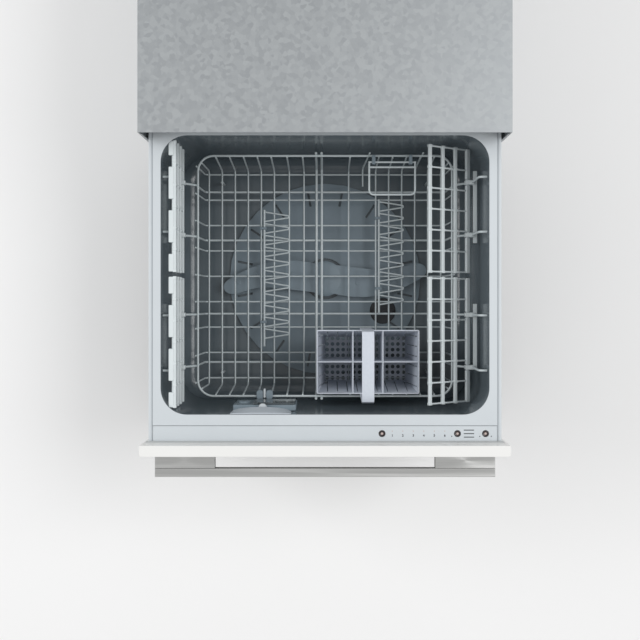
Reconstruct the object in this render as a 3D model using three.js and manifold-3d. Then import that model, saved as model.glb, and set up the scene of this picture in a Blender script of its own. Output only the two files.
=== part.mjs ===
// Built-in dishwasher drawer, pulled open: a fixed steel chassis, a tub that rides out of it on
// telescopic runners behind a cabinet-front panel, and the baskets and wash gear that the tub holds.
// Millimetres, +Z up, +X to the right of someone facing the front, which looks towards -Y.
// The origin is the middle of the chassis underside.
import * as THREE from 'three';
import { mergeVertices } from 'three/addons/utils/BufferGeometryUtils.js';
import Module from 'manifold-3d';

const wasm = await Module();
wasm.setup();

// ---- Driving dimensions -------------------------------------------------------------------------

// Fits
const seat = 0.3;             // between pieces that rest on or against each other
const slip = 0.4;             // between pieces that slide or turn on each other

// Chassis
const chassisWidth = 599;
const chassisHeight = 410;
const chassisDepth = 551;
const chassisSheet = 1;
const basePanSheet = 1.2;
const panUpstand = 15;
const frontUpstand = 20;
const hemWidth = 3;

// Drawer front
const panelWidth = chassisWidth - 1;
const panelThickness = 18;
const panelBottom = 5;
const panelTop = chassisHeight - 10;
const panelGap = 2;           // panel back to chassis front when shut
const panelArris = 1.5;
const drawerDepth = chassisDepth - 23;        // panel back to the back of the rim

// Tub
const rimTop = chassisHeight - 58;
const openingSide = 27;       // chassis side to the opening beside it
const openingWidth = chassisWidth - 2 * openingSide;
const openingDepth = chassisDepth - 88;
const openingSetback = 44.4;  // panel back to the front edge of the opening
const openingRadius = 44;
const tubFoot = 75;           // chassis underside to the tub floor
const tubDepth = rimTop - tubFoot;
const tubWall = 3;
const tubDraft = 1;           // each wall leans in by this much at the floor
const floorFillet = 24;
const rimThickness = 3;
const rimHalfWidth = openingWidth / 2 + 13;
const rimFrontStrip = 18;
const rimSkirt = 14;
const rimCornerRadius = 5;
const floorHoleRadius = 30;

// Side trims
const trimGap = 0.5;
const trimOuter = rimHalfWidth + 7;
const trimStrip = 4.2;
const trimGroove = 1.5;
const trimWall = 2;
const trimDrop = 62;

// Control fascia and buttons
const fasciaGap = 0.8;
const fasciaWall = 2.5;
const fasciaDrop = 24;
const buttonRadius = 5.4;
const buttonProud = 0.6;
const buttonTravel = 1.2;
const buttonPlaces = [rimHalfWidth - 191, rimHalfWidth - 66, rimHalfWidth - 19.5];
const buttonSetback = 13;     // panel back to the button centres
const boardThickness = 1.6;
const boardDrop = 12.4;       // rim top to the top of the board
const switchHeight = 1.7;

// Handle
const handleWidth = panelWidth - 33;
const handleTop = rimTop - 2;
const handleThickness = 14;
const barDepth = 14.4;
const handleReach = 41.4;     // panel front to the front of the bar
const shoulderWidth = 99.5;

// Steel front frame behind the panel
const frameHalfWidth = chassisWidth / 2 - 29.5;
const frameBottom = 60;
const frameTop = rimTop - 32;
const frameSheet = 1.2;

// Runners
const runnerHeight = 46;
const runnerCentre = 110;     // above the chassis underside
const runnerLength = chassisDepth - 51;
const drawerTravel = runnerLength;
const runnerSheet = 1.5;
const runnerFlange = 9;
const bracketSheet = 1.5;
const bracketFoot = 54;
const bracketRise = 58;
const bracketInset = 16;      // runner ends to the bracket ends

// Lid
const lidTravel = 8;
const lidOverhang = 12;
const lidThickness = 28;
const sealWidth = 6;
const sealProud = 4;
const sealInset = 2;          // opening edge to the inner edge of the seal
const sealGrooveDepth = 4;
const lidRailWidth = 24;
const lidRailDepth = 3;
const actuatorLength = 60;
const actuatorBottom = rimTop + 3;
const actuatorTop = chassisHeight - 16;

// Wash gear
const sumpFlangeRadius = 75;
const sumpRadius = 55;
const sumpDepth = 20;
const sumpWall = 3;
const motorRadius = 48;
const motorBottom = 23;
const impellerRadius = 24;
const impellerVanes = 6;
const shaftRadius = 4;
const postRadius = 6;
const postTop = 99;
const heaterInner = 40;
const heaterOuter = 92;
const heaterThickness = 2;
const filterRadius = 185;
const filterThickness = 2;
const filterSlots = 16;
const drainFilterRadius = 25;
const drainFilterPlace = [112, -62];
const armRadius = 200;
const armUnderside = 88;
const armThickness = 9;
const armHubRadius = 34;
const armHubHeight = 14;

// Dispenser on the front wall
const dispenserX = [-157, -50];
const dispenserBottom = rimTop - 138;
const dispenserTop = rimTop - 27;
const dispenserReach = 10;    // face of the body from the tub wall
const bulgeX = [-157, -57];
const bulgeBottom = rimTop - 50;
const bulgeReach = 6;
const doseX = [-122, -52];    // the detergent compartment's lid
const doseZ = [dispenserBottom + 14, bulgeBottom];
const doseLidThickness = 3.4;
const doseLidHinge = 1.6;       // bottom edge of the lid to its hinge line
const cupMargin = 7;          // lid edges to the edges of the compartment
const cupDepth = 7;
const latchPlace = -106;
const latchRadius = 7;
const latchHeight = 8;
const latchTravel = 2.5;
const rinseCapPlace = [-141, rimTop - 88];
const rinseCapRadius = 11;
const rinseCapProud = 3;

// Wire basket
const basketShift = 2;        // basket middle behind the middle of the tub
const railHalfWidth = openingWidth / 2 - 44.5;
const railHalfDepth = openingDepth / 2 - 16;
const floorHalfWidth = railHalfWidth - 7.5;
const floorHalfDepth = railHalfDepth - 12.5;
const railHeight = rimTop - 132;
const railRadius = 28;
const railWire = 4;
const basketWire = 3;
const hangerWire = 3.5;
const stoutWire = 4.5;
const stoutPlaces = [floorHalfWidth - 236.5, floorHalfWidth - 226.5];
const weld = 0.5;             // how far crossing wires sink into each other
const basketFloor = 114;      // middle of the wires that run front to back
const floorPitch = 24.8;
const floorOuterWires = 6;    // on each side, outermost first
const floorInnerPlaces = [-68, -40, 45];
const crossPlaces = [floorHalfDepth - 8, 2, -(floorHalfDepth - 21)];
const wireBend = 8;
const footSetback = 22;        // floor ends to the feet, which stand under the second wires
const footWire = 5;
const hangerPlaces = [railHalfDepth - 50.9, 72.7, -67.1, -(railHalfDepth - 56.2)];
const hangerTop = rimTop - 14;
const hangerReach = openingWidth / 2 - 2.5;
const hangerRise = openingWidth / 2 - 14.5;   // distance of the upright part from the middle
const basketTravel = 350;
const clipPlace = -108;
const clipWidth = 30;

// Cup racks
const rackHinge = openingWidth / 2 - 22.5;    // hinge line from the middle of the tub
const rackHingeHeight = railHeight + 38;
const rackBars = 4;
const rackBarPitch = 29;
const rackBarWidth = 6;
const rackBarThickness = 5;
const rackPinRadius = 2.8;
const rackWire = 3;
const rackWireCount = 7;
const rackRearEnd = openingDepth / 2 - 8.5;
const rackFrontEnd = -(openingDepth / 2 - 11.5);
const rackTilt = 35;          // above level when folded down
const toothLength = 54;
const toothGap = 18.5;
const toothReach = 8;
const toothInset = 8.5;       // rack ends to the end teeth, clear of the round tub corners
const rackClipWidth = 8;

// Folding tines and rear shelf
const tineRows = [             // wire counts in from the side that its sign gives
  { name: 'tine_row_left', wire: -4, y: -127, count: 11 },
  { name: 'tine_row_right', wire: 5, y: -63, count: 9 },
];
const tinePitch = 22.2;
const tineLength = 46;
const tineRod = 4;
const tineRodOffset = 6;      // floor wire to the rod beside it
const tineWire = 3;
const shelfPlace = [floorHalfWidth - 141.5, floorHalfWidth - 59.5];
const shelfSetback = 12.5;    // rear rail to the rod that the shelf turns on
const shelfReach = 58;
const shelfWire = 3.5;

// Cutlery basket
const cutleryX = [floorHalfWidth - 235.5, floorHalfWidth - 52.5];
const cutleryFront = -(openingDepth / 2 - 23.1);   // from the middle of the tub
const cutleryY = [cutleryFront, cutleryFront + 113.9];
const cutleryTop = railHeight + 15;
const cutleryTaper = 14;
const cutleryWall = 2;
const cutleryRadius = 6;
const cutleryDividers = [cutleryX[0] + 64.8, cutleryX[0] + 118.2];
const cutlerySlotWidth = 4;
const cutlerySlotPitch = 9.7;
const cutleryTravel = 200;
const strapCentre = cutleryX[0] + 87.9;
const strapWidth = 20.8;
const strapThickness = 3;
const strapTop = rimTop - 27;
const strapFrontReach = 10;
const strapBend = 14;

// Rear services on the chassis
const inletPlace = [-215, 62];
const inletRadius = 13;
const drainPlace = [-150, 62];
const drainRadius = 10;
const terminalPlace = [190, 70];
const terminalSize = [90, 16, 60];
const cableRadius = 7;

// ---- Places worked out from the sizes ------------------------------------------------------------

const chassisFront = -chassisDepth / 2;
const chassisBack = chassisDepth / 2;
const innerWall = chassisWidth / 2 - chassisSheet;
const panelBack = chassisFront - panelGap;
const panelFront = panelBack - panelThickness;
const rimBack = panelBack + drawerDepth;
const openingFront = panelBack + openingSetback;
const tubMiddle = openingFront + openingDepth / 2;
const halfWidth = openingWidth / 2;
const halfDepth = openingDepth / 2;
const tubFloor = rimTop - tubDepth;
const tubUnderside = tubFloor - tubWall;
const basketMiddle = tubMiddle + basketShift;
const hingeDegrees = 90 - rackTilt;

// ---- Solids --------------------------------------------------------------------------------------

// A closed three.js geometry as a solid that can be joined and cut.
function solid(geometry) {
  const bare = geometry.clone();
  bare.deleteAttribute('normal');
  bare.deleteAttribute('uv');
  const merged = mergeVertices(bare, 1e-4);
  return new wasm.Manifold(new wasm.Mesh({
    numProp: 3,
    vertProperties: merged.attributes.position.array,
    triVerts: new Uint32Array(merged.index.array),
  }));
}

function join(bodies) {
  return bodies.reduce((sum, body) => sum.add(body));
}

function cut(body, tools) {
  return tools.reduce((left, tool) => left.subtract(tool), body);
}

function block([x0, x1], [y0, y1], [z0, z1]) {
  const box = new THREE.BoxGeometry(x1 - x0, y1 - y0, z1 - z0);
  box.translate((x0 + x1) / 2, (y0 + y1) / 2, (z0 + z1) / 2);
  return solid(box);
}

// The span from near to far on one side of the middle plane; side is 1 on the right, -1 on the left.
function span(side, near, far) {
  return side > 0 ? [near, far] : [-far, -near];
}

function outline(points) {
  return new THREE.Shape(points.map(([x, y]) => new THREE.Vector2(x, y)));
}

function roundedRectangle([x0, x1], [y0, y1], radius) {
  const shape = new THREE.Shape();
  const quarter = Math.PI / 2;
  shape.moveTo(x0 + radius, y0);
  shape.absarc(x1 - radius, y0 + radius, radius, -quarter, 0, false);
  shape.absarc(x1 - radius, y1 - radius, radius, 0, quarter, false);
  shape.absarc(x0 + radius, y1 - radius, radius, quarter, 2 * quarter, false);
  shape.absarc(x0 + radius, y0 + radius, radius, 2 * quarter, 3 * quarter, false);
  return shape;
}

// A flat outline drawn in X and Y, given a thickness from z0 to z1.
function slab(shape, z0, z1, curveSegments = 6) {
  const geometry = new THREE.ExtrudeGeometry(shape, { depth: z1 - z0, bevelEnabled: false, curveSegments });
  geometry.translate(0, 0, z0);
  return solid(geometry);
}

// A section drawn in X and Z, drawn out along Y.
function alongY(shape, y0, y1, curveSegments = 6) {
  const geometry = new THREE.ExtrudeGeometry(shape, { depth: y1 - y0, bevelEnabled: false, curveSegments });
  geometry.rotateX(Math.PI / 2);
  geometry.translate(0, y1, 0);
  return solid(geometry);
}

// A section drawn in Y and Z, drawn out along X.
function alongX(shape, x0, x1, curveSegments = 6) {
  const geometry = new THREE.ExtrudeGeometry(shape, { depth: x1 - x0, bevelEnabled: false, curveSegments });
  const turn = new THREE.Matrix4().makeBasis(
    new THREE.Vector3(0, 1, 0), new THREE.Vector3(0, 0, 1), new THREE.Vector3(1, 0, 0));
  geometry.applyMatrix4(turn);
  geometry.translate(x0, 0, 0);
  return solid(geometry);
}

// A profile of [radius, height] points, anticlockwise, turned about an upright axis.
function turned(profile, segments = 24) {
  const points = profile.map(([radius, height]) => new THREE.Vector2(radius, height));
  const geometry = new THREE.LatheGeometry(points, segments);
  geometry.rotateX(Math.PI / 2);
  return solid(geometry);
}

function disc(radius, z0, z1, segments = 24) {
  return turned([[0, z0], [radius, z0], [radius, z1], [0, z1]], segments);
}

// A round bar from one point to another.
function rod(from, to, radius, sides = 8) {
  const start = new THREE.Vector3(...from);
  const way = new THREE.Vector3(...to).sub(start);
  const geometry = new THREE.CylinderGeometry(radius, radius, way.length(), sides);
  geometry.applyQuaternion(new THREE.Quaternion().setFromUnitVectors(
    new THREE.Vector3(0, 1, 0), way.clone().normalize()));
  geometry.translate(...start.addScaledVector(way, 0.5).toArray());
  return solid(geometry);
}

// A path through chosen stations, with a section at each station only.
class StationPath extends THREE.Curve {
  constructor(stations) {
    super();
    this.stations = stations;
  }

  getPointAt(t) {
    return this.stations[Math.round(t * (this.stations.length - 1))].clone();
  }

  getTangentAt(t) {
    const last = this.stations.length - 1;
    const at = Math.round(t * last);
    const before = this.stations[Math.max(at - 1, 0)];
    const after = this.stations[Math.min(at + 1, last)];
    const here = this.stations[at];
    const ahead = after.clone().sub(here).normalize();
    const behind = here.clone().sub(before).normalize();
    return ahead.add(behind).normalize();
  }
}

// Stations along a bent line: each inner corner is rounded with a short curve.
function bentStations(points, bend, bendSteps) {
  const corners = points.map((point) => new THREE.Vector3(...point));
  const stations = [corners[0]];
  for (let i = 1; i < corners.length - 1; i += 1) {
    const toPrevious = corners[i - 1].clone().sub(corners[i]).normalize();
    const toNext = corners[i + 1].clone().sub(corners[i]).normalize();
    const halfTurn = (Math.PI - toPrevious.angleTo(toNext)) / 2;
    const back = bend * Math.tan(halfTurn);
    const curve = new THREE.QuadraticBezierCurve3(
      corners[i].clone().addScaledVector(toPrevious, back), corners[i],
      corners[i].clone().addScaledVector(toNext, back));
    const pieces = halfTurn > 0.5 ? bendSteps : 1;
    stations.push(...curve.getPoints(pieces));
  }
  stations.push(corners[corners.length - 1]);
  return stations;
}

function sectionRound(radius, sides) {
  const points = [];
  for (let i = 0; i < sides; i += 1) {
    const angle = (i + 0.5) * 2 * Math.PI / sides;
    points.push([radius * Math.cos(angle), radius * Math.sin(angle)]);
  }
  return outline(points);
}

// A wire or strap bent along a line of points.
function bent(points, section, bend, bendSteps = 2) {
  const stations = bentStations(points, bend, bendSteps);
  const geometry = new THREE.ExtrudeGeometry(section, {
    steps: stations.length - 1,
    extrudePath: new StationPath(stations),
    bevelEnabled: false,
  });
  return solid(geometry);
}

function wire(points, diameter, bend = wireBend, sides = 6) {
  return bent(points, sectionRound(diameter / 2, sides), bend);
}

// A closed level ring of wire with round corners, made as two halves that meet on the middle plane.
function wireRing(halfX, halfY, middleY, z, diameter, bend) {
  const lap = diameter / 2;
  const halves = [1, -1].map((side) => wire([
    [-side * lap, middleY - halfY, z], [side * halfX, middleY - halfY, z],
    [side * halfX, middleY + halfY, z], [-side * lap, middleY + halfY, z],
  ], diameter, bend));
  return join(halves);
}

// A skin through level rings of the same number of points, closed at both ends.
function loft(rings) {
  const count = rings[0].length;
  const positions = rings.flat(2);
  const index = [];
  for (let level = 0; level < rings.length - 1; level += 1) {
    for (let i = 0; i < count; i += 1) {
      const a = level * count + i;
      const b = level * count + (i + 1) % count;
      index.push(a, b, b + count, a, b + count, a + count);
    }
  }
  const top = (rings.length - 1) * count;
  for (let i = 1; i < count - 1; i += 1) {
    index.push(0, i + 1, i);
    index.push(top, top + i, top + i + 1);
  }
  const geometry = new THREE.BufferGeometry();
  geometry.setAttribute('position', new THREE.Float32BufferAttribute(positions, 3));
  geometry.setIndex(index);
  return solid(geometry);
}

// One level ring of a loft: a rounded rectangle, anticlockwise seen from above.
function ring(halfX, halfY, radius, middleX, middleY, z, cornerSteps = 6) {
  const points = [];
  const corners = [[1, -1, -0.5], [1, 1, 0], [-1, 1, 0.5], [-1, -1, 1]];
  for (const [sideX, sideY, turn] of corners) {
    for (let i = 0; i <= cornerSteps; i += 1) {
      const angle = Math.PI * (turn + 0.5 * i / cornerSteps);
      points.push([
        middleX + sideX * (halfX - radius) + radius * Math.cos(angle),
        middleY + sideY * (halfY - radius) + radius * Math.sin(angle),
        z,
      ]);
    }
  }
  return points;
}

// ---- Materials -----------------------------------------------------------------------------------

function finish(color, roughness, metalness = 0) {
  return () => new THREE.MeshStandardMaterial({ color, roughness, metalness });
}

const zincSteel = finish(0x9a9ea1, 0.5, 0.8);
const runnerSteel = finish(0xb4b7b9, 0.35, 0.9);
const palePlastic = finish(0xccd1d5, 0.4);
const tubPlastic = finish(0xccd1d5, 0.35);
const greyPlastic = finish(0x9aa5ad, 0.45);
const darkPlastic = finish(0x2c2e31, 0.5);
const whitePanel = finish(0xf1f1ee, 0.35);
const brushedSteel = finish(0xbdbdbb, 0.3, 1);
const coatedWire = finish(0xb4bdbf, 0.4);
const cutleryPlastic = finish(0xcdd2db, 0.45);
const buttonPlastic = finish(0x3a3030, 0.3);
const sealRubber = finish(0x4a4d50, 0.8);
const boardLaminate = finish(0x2e6b45, 0.6);
const clearLid = finish(0x8b969d, 0.2);

const unit = new THREE.Group();
const chassis = new THREE.Group();
const drawer = new THREE.Group();
const runners = new THREE.Group();
drawer.position.y = -drawerTravel;
runners.position.y = -drawerTravel / 2;
unit.add(chassis, drawer, runners);

function add(group, name, body, material) {
  const mesh = body.getMesh();
  const geometry = new THREE.BufferGeometry();
  geometry.setAttribute('position', new THREE.BufferAttribute(mesh.vertProperties, 3));
  geometry.setIndex(new THREE.BufferAttribute(mesh.triVerts, 1));
  geometry.computeVertexNormals();
  const piece = new THREE.Mesh(geometry, material());
  piece.name = name;
  group.add(piece);
  return piece;
}

// ---- Chassis: folded sheet, open at the front ------------------------------------------------------

function folded(z0, z1, sheet, upstandFrom, upstandTo) {
  const edge = innerWall - seat;
  const back = chassisBack - chassisSheet - seat;
  const walls = [
    block([-chassisWidth / 2, chassisWidth / 2], [chassisFront, chassisBack], [z0, z1]),
    block([edge - sheet, edge], [chassisFront, back], [upstandFrom, upstandTo]),
    block([-edge, sheet - edge], [chassisFront, back], [upstandFrom, upstandTo]),
  ];
  return join(walls);
}

const panEdge = innerWall - seat;
const panBack = chassisBack - chassisSheet - seat;
const basePan = folded(0, basePanSheet, basePanSheet, 0, panUpstand);
const panEnds = [
  block([-panEdge, panEdge], [panBack - basePanSheet, panBack], [0, panUpstand]),
  block([-panEdge, panEdge], [chassisFront, chassisFront + basePanSheet], [0, frontUpstand]),
];
add(chassis, 'chassis_base', join([basePan, ...panEnds]), zincSteel);

const wallBottom = basePanSheet + seat;
const wallTop = chassisHeight - chassisSheet - seat;
for (const [name, side] of [['left', -1], ['right', 1]]) {
  const sheet = block(span(side, innerWall, chassisWidth / 2), [chassisFront, chassisBack], [wallBottom, wallTop]);
  // The front edge is turned in above and below the runner, which passes through between.
  const hems = [[frontUpstand + seat, runnerCentre - runnerHeight / 2 - 1],
    [runnerCentre + runnerHeight / 2 + 1, chassisHeight - panUpstand - seat]]
    .map((height) => block(span(side, innerWall - hemWidth, innerWall),
      [chassisFront, chassisFront + chassisSheet], height));
  add(chassis, `chassis_side_${name}`, join([sheet, ...hems]), zincSteel);
}

// Round ports through the back for water, waste and the supply.
function backPort([x, z], radius) {
  return rod([x, chassisBack - 5, z], [x, chassisBack + 5, z], radius + seat, 20);
}

// The top sheet is folded down at the back, and closes it.
const topSheet = folded(chassisHeight - chassisSheet, chassisHeight, chassisSheet,
  chassisHeight - panUpstand, chassisHeight);
const backSheet = block([-panEdge, panEdge], [chassisBack - chassisSheet, chassisBack],
  [wallBottom, chassisHeight]);
add(chassis, 'chassis_top', cut(topSheet.add(backSheet), [
  backPort(inletPlace, inletRadius), backPort(drainPlace, drainRadius), backPort(terminalPlace, cableRadius),
]), zincSteel);

// ---- Rear services ---------------------------------------------------------------------------------

const serviceWall = chassisBack - chassisSheet - seat;
const serviceDepth = 18;

function alongBack([x, z], from, to, radius, sides = 20) {
  return rod([x, from, z], [x, to, z], radius, sides);
}

const inletBody = join([
  alongBack(inletPlace, serviceWall - serviceDepth, chassisBack, inletRadius),
  alongBack(inletPlace, serviceWall - 4, serviceWall, inletRadius + 5),
  block([inletPlace[0] - 12, inletPlace[0] + 12], [serviceWall - serviceDepth, serviceWall - 3],
    [inletPlace[1] + 8, inletPlace[1] + 52]),
]);
const inletBore = alongBack(inletPlace, serviceWall - 10, chassisBack + 2, inletRadius - 4);
add(chassis, 'inlet_valve', inletBody.subtract(inletBore), palePlastic);

const drainBody = join([
  alongBack(drainPlace, serviceWall - serviceDepth, chassisBack, drainRadius),
  alongBack(drainPlace, serviceWall - 4, serviceWall, drainRadius + 6),
]);
const drainBore = alongBack(drainPlace, serviceWall - serviceDepth - 2, chassisBack + 2, drainRadius - 3);
add(chassis, 'drain_outlet', drainBody.subtract(drainBore), darkPlastic);

const [terminalWidth, terminalDepth, terminalHeight] = terminalSize;
const terminalBox = block([terminalPlace[0] - terminalWidth / 2, terminalPlace[0] + terminalWidth / 2],
  [serviceWall - terminalDepth, serviceWall], [terminalPlace[1] - 18, terminalPlace[1] - 18 + terminalHeight]);
add(chassis, 'terminal_box', terminalBox.add(
  alongBack(terminalPlace, serviceWall - 2, chassisBack, cableRadius)), darkPlastic);

// ---- Telescopic runners: three nested channels a side ----------------------------------------------

// A channel whose web stands at webFar and whose flanges reach to flangeNear, from the middle plane.
function channel(side, webNear, webFar, flangeNear, flangeFar, halfHeight, y0, y1) {
  const low = runnerCentre - halfHeight;
  const high = runnerCentre + halfHeight;
  const flange = span(side, flangeNear, flangeFar);
  return join([
    block(span(side, webNear, webFar), [y0, y1], [low, high]),
    block(flange, [y0, y1], [low, low + runnerSheet]),
    block(flange, [y0, y1], [high - runnerSheet, high]),
  ]);
}

const runnerFront = -runnerLength / 2;
const runnerBack = runnerLength / 2;
const fixedWeb = innerWall - seat - runnerSheet;
const middleWeb = fixedWeb - slip - runnerSheet;
const innerFlangeEnd = middleWeb - slip;
const innerWebFar = middleWeb - runnerFlange;
const innerWeb = innerWebFar - runnerSheet;
const fixedHalf = runnerHeight / 2;
const middleHalf = fixedHalf - runnerSheet - slip;
const innerHalf = middleHalf - runnerSheet - slip;
const bracketFar = innerWeb - seat;
const bracketSpan = [runnerFront + bracketInset, runnerBack - bracketInset];

for (const [name, side] of [['left', -1], ['right', 1]]) {
  add(chassis, `runner_fixed_${name}`, channel(side, fixedWeb, fixedWeb + runnerSheet,
    fixedWeb - runnerFlange, fixedWeb + runnerSheet, fixedHalf, runnerFront, runnerBack), runnerSteel);
  add(runners, `runner_middle_${name}`, channel(side, middleWeb, middleWeb + runnerSheet,
    middleWeb - runnerFlange + 1, middleWeb + runnerSheet, middleHalf, runnerFront, runnerBack), runnerSteel);
  add(drawer, `runner_inner_${name}`, channel(side, innerWeb, innerWebFar,
    innerWeb, innerFlangeEnd, innerHalf, runnerFront, runnerBack), runnerSteel);
  // The angle that carries the tub on its runner.
  const foot = tubUnderside - seat;
  const angle = join([
    block(span(side, bracketFar - bracketSheet, bracketFar), bracketSpan,
      [foot - bracketSheet, foot - bracketSheet + bracketRise]),
    block(span(side, bracketFar - bracketFoot, bracketFar), bracketSpan,
      [foot - bracketSheet, foot]),
  ]);
  add(drawer, `tub_bracket_${name}`, angle, zincSteel);
}

// ---- Lid that comes down on the shut tub ------------------------------------------------------------

const sealBottom = rimTop + seat + lidTravel;
const lidBottom = sealBottom + sealProud;
const lidTop = lidBottom + lidThickness;
const lidHalfWidth = halfWidth + lidOverhang;
const lidHalfDepth = halfDepth + lidOverhang;
const railMiddle = tubMiddle;

function aroundOpening(reach, z0, z1) {
  const radius = openingRadius + Math.max(reach, 0);
  return slab(roundedRectangle([-halfWidth - reach, halfWidth + reach],
    [tubMiddle - halfDepth - reach, tubMiddle + halfDepth + reach], radius), z0, z1, 5);
}

const sealOuter = sealInset + sealWidth;
const lidGroove = aroundOpening(sealOuter + seat, lidBottom - 1, lidBottom + sealGrooveDepth)
  .subtract(aroundOpening(sealInset - seat, lidBottom - 2, lidBottom + sealGrooveDepth + 1));
const lidNotches = [-1, 1].map((side) => block(span(side, lidHalfWidth - lidRailDepth, lidHalfWidth + 1),
  [railMiddle - lidRailWidth / 2, railMiddle + lidRailWidth / 2], [lidBottom - 1, lidTop + 1]));
// A shallow pan in the top face, with ribs left across it.
const lidRibs = 4;
const lidBorder = 30;
const lidRibPitch = 2 * (lidHalfWidth - lidBorder) / lidRibs;
const lidPockets = [];
for (let i = 0; i < lidRibs; i += 1) {
  const from = -lidHalfWidth + lidBorder + i * lidRibPitch;
  lidPockets.push(slab(roundedRectangle([from + 4, from + lidRibPitch - 4],
    [tubMiddle - lidHalfDepth + 26, tubMiddle + lidHalfDepth - 26], 12), lidBottom + 8, lidTop + 1, 2));
}
const lidBody = slab(roundedRectangle([-lidHalfWidth, lidHalfWidth],
  [tubMiddle - lidHalfDepth, tubMiddle + lidHalfDepth], openingRadius), lidBottom, lidTop, 5);
add(chassis, 'lid', cut(lidBody, [lidGroove, ...lidNotches, ...lidPockets]), palePlastic);

const sealTop = lidBottom + sealGrooveDepth - seat;
add(chassis, 'lid_seal', aroundOpening(sealOuter, sealBottom, sealTop)
  .subtract(aroundOpening(sealInset, sealBottom - 1, sealTop + 1)), sealRubber);

// Drives at the chassis sides that lower the lid; a rail on each guides it.
for (const [name, side] of [['left', -1], ['right', 1]]) {
  const body = block(span(side, lidHalfWidth + slip, innerWall - seat),
    [railMiddle - actuatorLength / 2, railMiddle + actuatorLength / 2], [actuatorBottom, actuatorTop]);
  const rail = block(span(side, lidHalfWidth - lidRailDepth + slip, lidHalfWidth + slip + 1),
    [railMiddle - lidRailWidth / 2 + slip, railMiddle + lidRailWidth / 2 - slip], [actuatorBottom, actuatorTop]);
  add(chassis, `lid_actuator_${name}`, body.add(rail), darkPlastic);
}

// ---- Tub: one moulding, walls, floor and rim ---------------------------------------------------------

// Rings of the tub's skin from the floor up; grow is 0 for the inside and the wall for the outside.
function tubRings(grow, bottom, top) {
  const rings = [];
  const fillet = floorFillet + grow;
  const fullDraft = tubDraft;
  const steps = 4;
  for (let i = 0; i <= steps; i += 1) {
    const angle = Math.PI / 2 * i / steps;
    const inset = fillet * (1 - Math.sin(angle)) + fullDraft - grow;
    const z = bottom + fillet * (1 - Math.cos(angle));
    rings.push(ring(halfWidth - inset, halfDepth - inset, Math.max(openingRadius - inset, 12),
      0, tubMiddle, z));
  }
  rings.push(ring(halfWidth + grow, halfDepth + grow, openingRadius + grow, 0, tubMiddle, top));
  return rings;
}

const rimFront = openingFront - rimFrontStrip;
const rimUnderside = rimTop - rimThickness;
const rimOutline = roundedRectangle([-rimHalfWidth, rimHalfWidth], [rimFront, rimBack], rimCornerRadius);
const skirtInner = roundedRectangle([rimThickness - rimHalfWidth, rimHalfWidth - rimThickness],
  [rimFront + rimThickness, rimBack - rimThickness], 2);
const rimSolid = slab(rimOutline, rimTop - rimSkirt, rimTop, 3)
  .subtract(slab(skirtInner, rimTop - rimSkirt - 1, rimUnderside, 3));
const tubOutside = loft(tubRings(tubWall, tubUnderside, rimUnderside + 1));
const tubInside = loft(tubRings(0, tubFloor, rimTop + 0.001));
const floorHole = disc(floorHoleRadius, tubUnderside - 5, tubFloor + 5)
  .translate([0, tubMiddle, 0]);
add(drawer, 'tub', cut(tubOutside.add(rimSolid), [tubInside, floorHole]), tubPlastic);

// ---- Side trims: the narrow outer strip and groove along each side of the rim ------------------------

for (const [name, side] of [['left', -1], ['right', 1]]) {
  const inner = rimHalfWidth + trimGap;
  const profile = [
    [inner, rimUnderside], [trimOuter - trimWall, rimUnderside], [trimOuter - trimWall, rimTop - trimDrop],
    [trimOuter, rimTop - trimDrop], [trimOuter, rimTop], [trimOuter - trimStrip, rimTop],
    [trimOuter - trimStrip, rimTop - trimGroove], [inner, rimTop - trimGroove],
  ].map(([x, z]) => [side * x, z]);
  add(drawer, `side_trim_${name}`, alongY(outline(profile), panelBack + seat, rimBack), palePlastic);
}

// ---- Control fascia, its board and three buttons -------------------------------------------------------

const fasciaBack = rimFront - fasciaGap;
const fasciaFront = panelBack + seat;
const fasciaHalf = rimHalfWidth - seat;
const fasciaUnderside = rimTop - fasciaWall;
const buttonRow = panelBack + buttonSetback;
const boardTop = rimTop - boardDrop;
const boardEnds = [buttonPlaces[0] - 34.5, buttonPlaces[2] + 12];
const bossRadius = 2.5;

const fasciaShell = block([-fasciaHalf, fasciaHalf], [fasciaFront, fasciaBack], [rimTop - fasciaDrop, rimTop])
  .subtract(block([fasciaWall - fasciaHalf, fasciaHalf - fasciaWall],
    [fasciaFront + fasciaWall, fasciaBack - fasciaWall], [rimTop - fasciaDrop - 1, fasciaUnderside]));
const fasciaBosses = [boardEnds[0] + 8, (buttonPlaces[0] + buttonPlaces[1]) / 2, buttonPlaces[1] + 20]
  .map((x) => disc(bossRadius, boardTop + seat, rimTop - 1, 10).translate([x, buttonRow, 0]));
const buttonHoles = buttonPlaces
  .map((x) => disc(buttonRadius + slip, fasciaUnderside - 1, rimTop + 1).translate([x, buttonRow, 0]));
add(drawer, 'control_fascia', cut(join([fasciaShell, ...fasciaBosses]), buttonHoles), palePlastic);

const switchTop = boardTop + switchHeight;
const board = block(boardEnds, [fasciaFront + fasciaWall + 1, fasciaBack - fasciaWall - 1],
  [boardTop - boardThickness, boardTop]);
const switches = buttonPlaces.map((x) => block([x - 3, x + 3], [buttonRow - 3, buttonRow + 3],
  [boardTop - 0.5, switchTop]));
add(drawer, 'control_board', join([board, ...switches]), boardLaminate);

const buttonFlange = buttonRadius + 1.6;
const buttonStem = 2;
const flangeTop = fasciaUnderside - seat;
buttonPlaces.forEach((x, i) => {
  const crown = rimTop + buttonProud;
  const stemEnd = switchTop + buttonTravel + 0.1;
  const cap = turned([
    [0, stemEnd], [buttonStem, stemEnd], [buttonStem, flangeTop - 2], [buttonFlange, flangeTop - 2],
    [buttonFlange, flangeTop], [buttonRadius, flangeTop], [buttonRadius, crown - 0.4],
    [buttonRadius - 0.5, crown], [buttonRadius - 1.6, crown - 0.3], [0, crown - 0.5],
  ], 16);
  add(drawer, `button_${i + 1}`, cap.translate([x, buttonRow, 0]), buttonPlastic);
});

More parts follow.
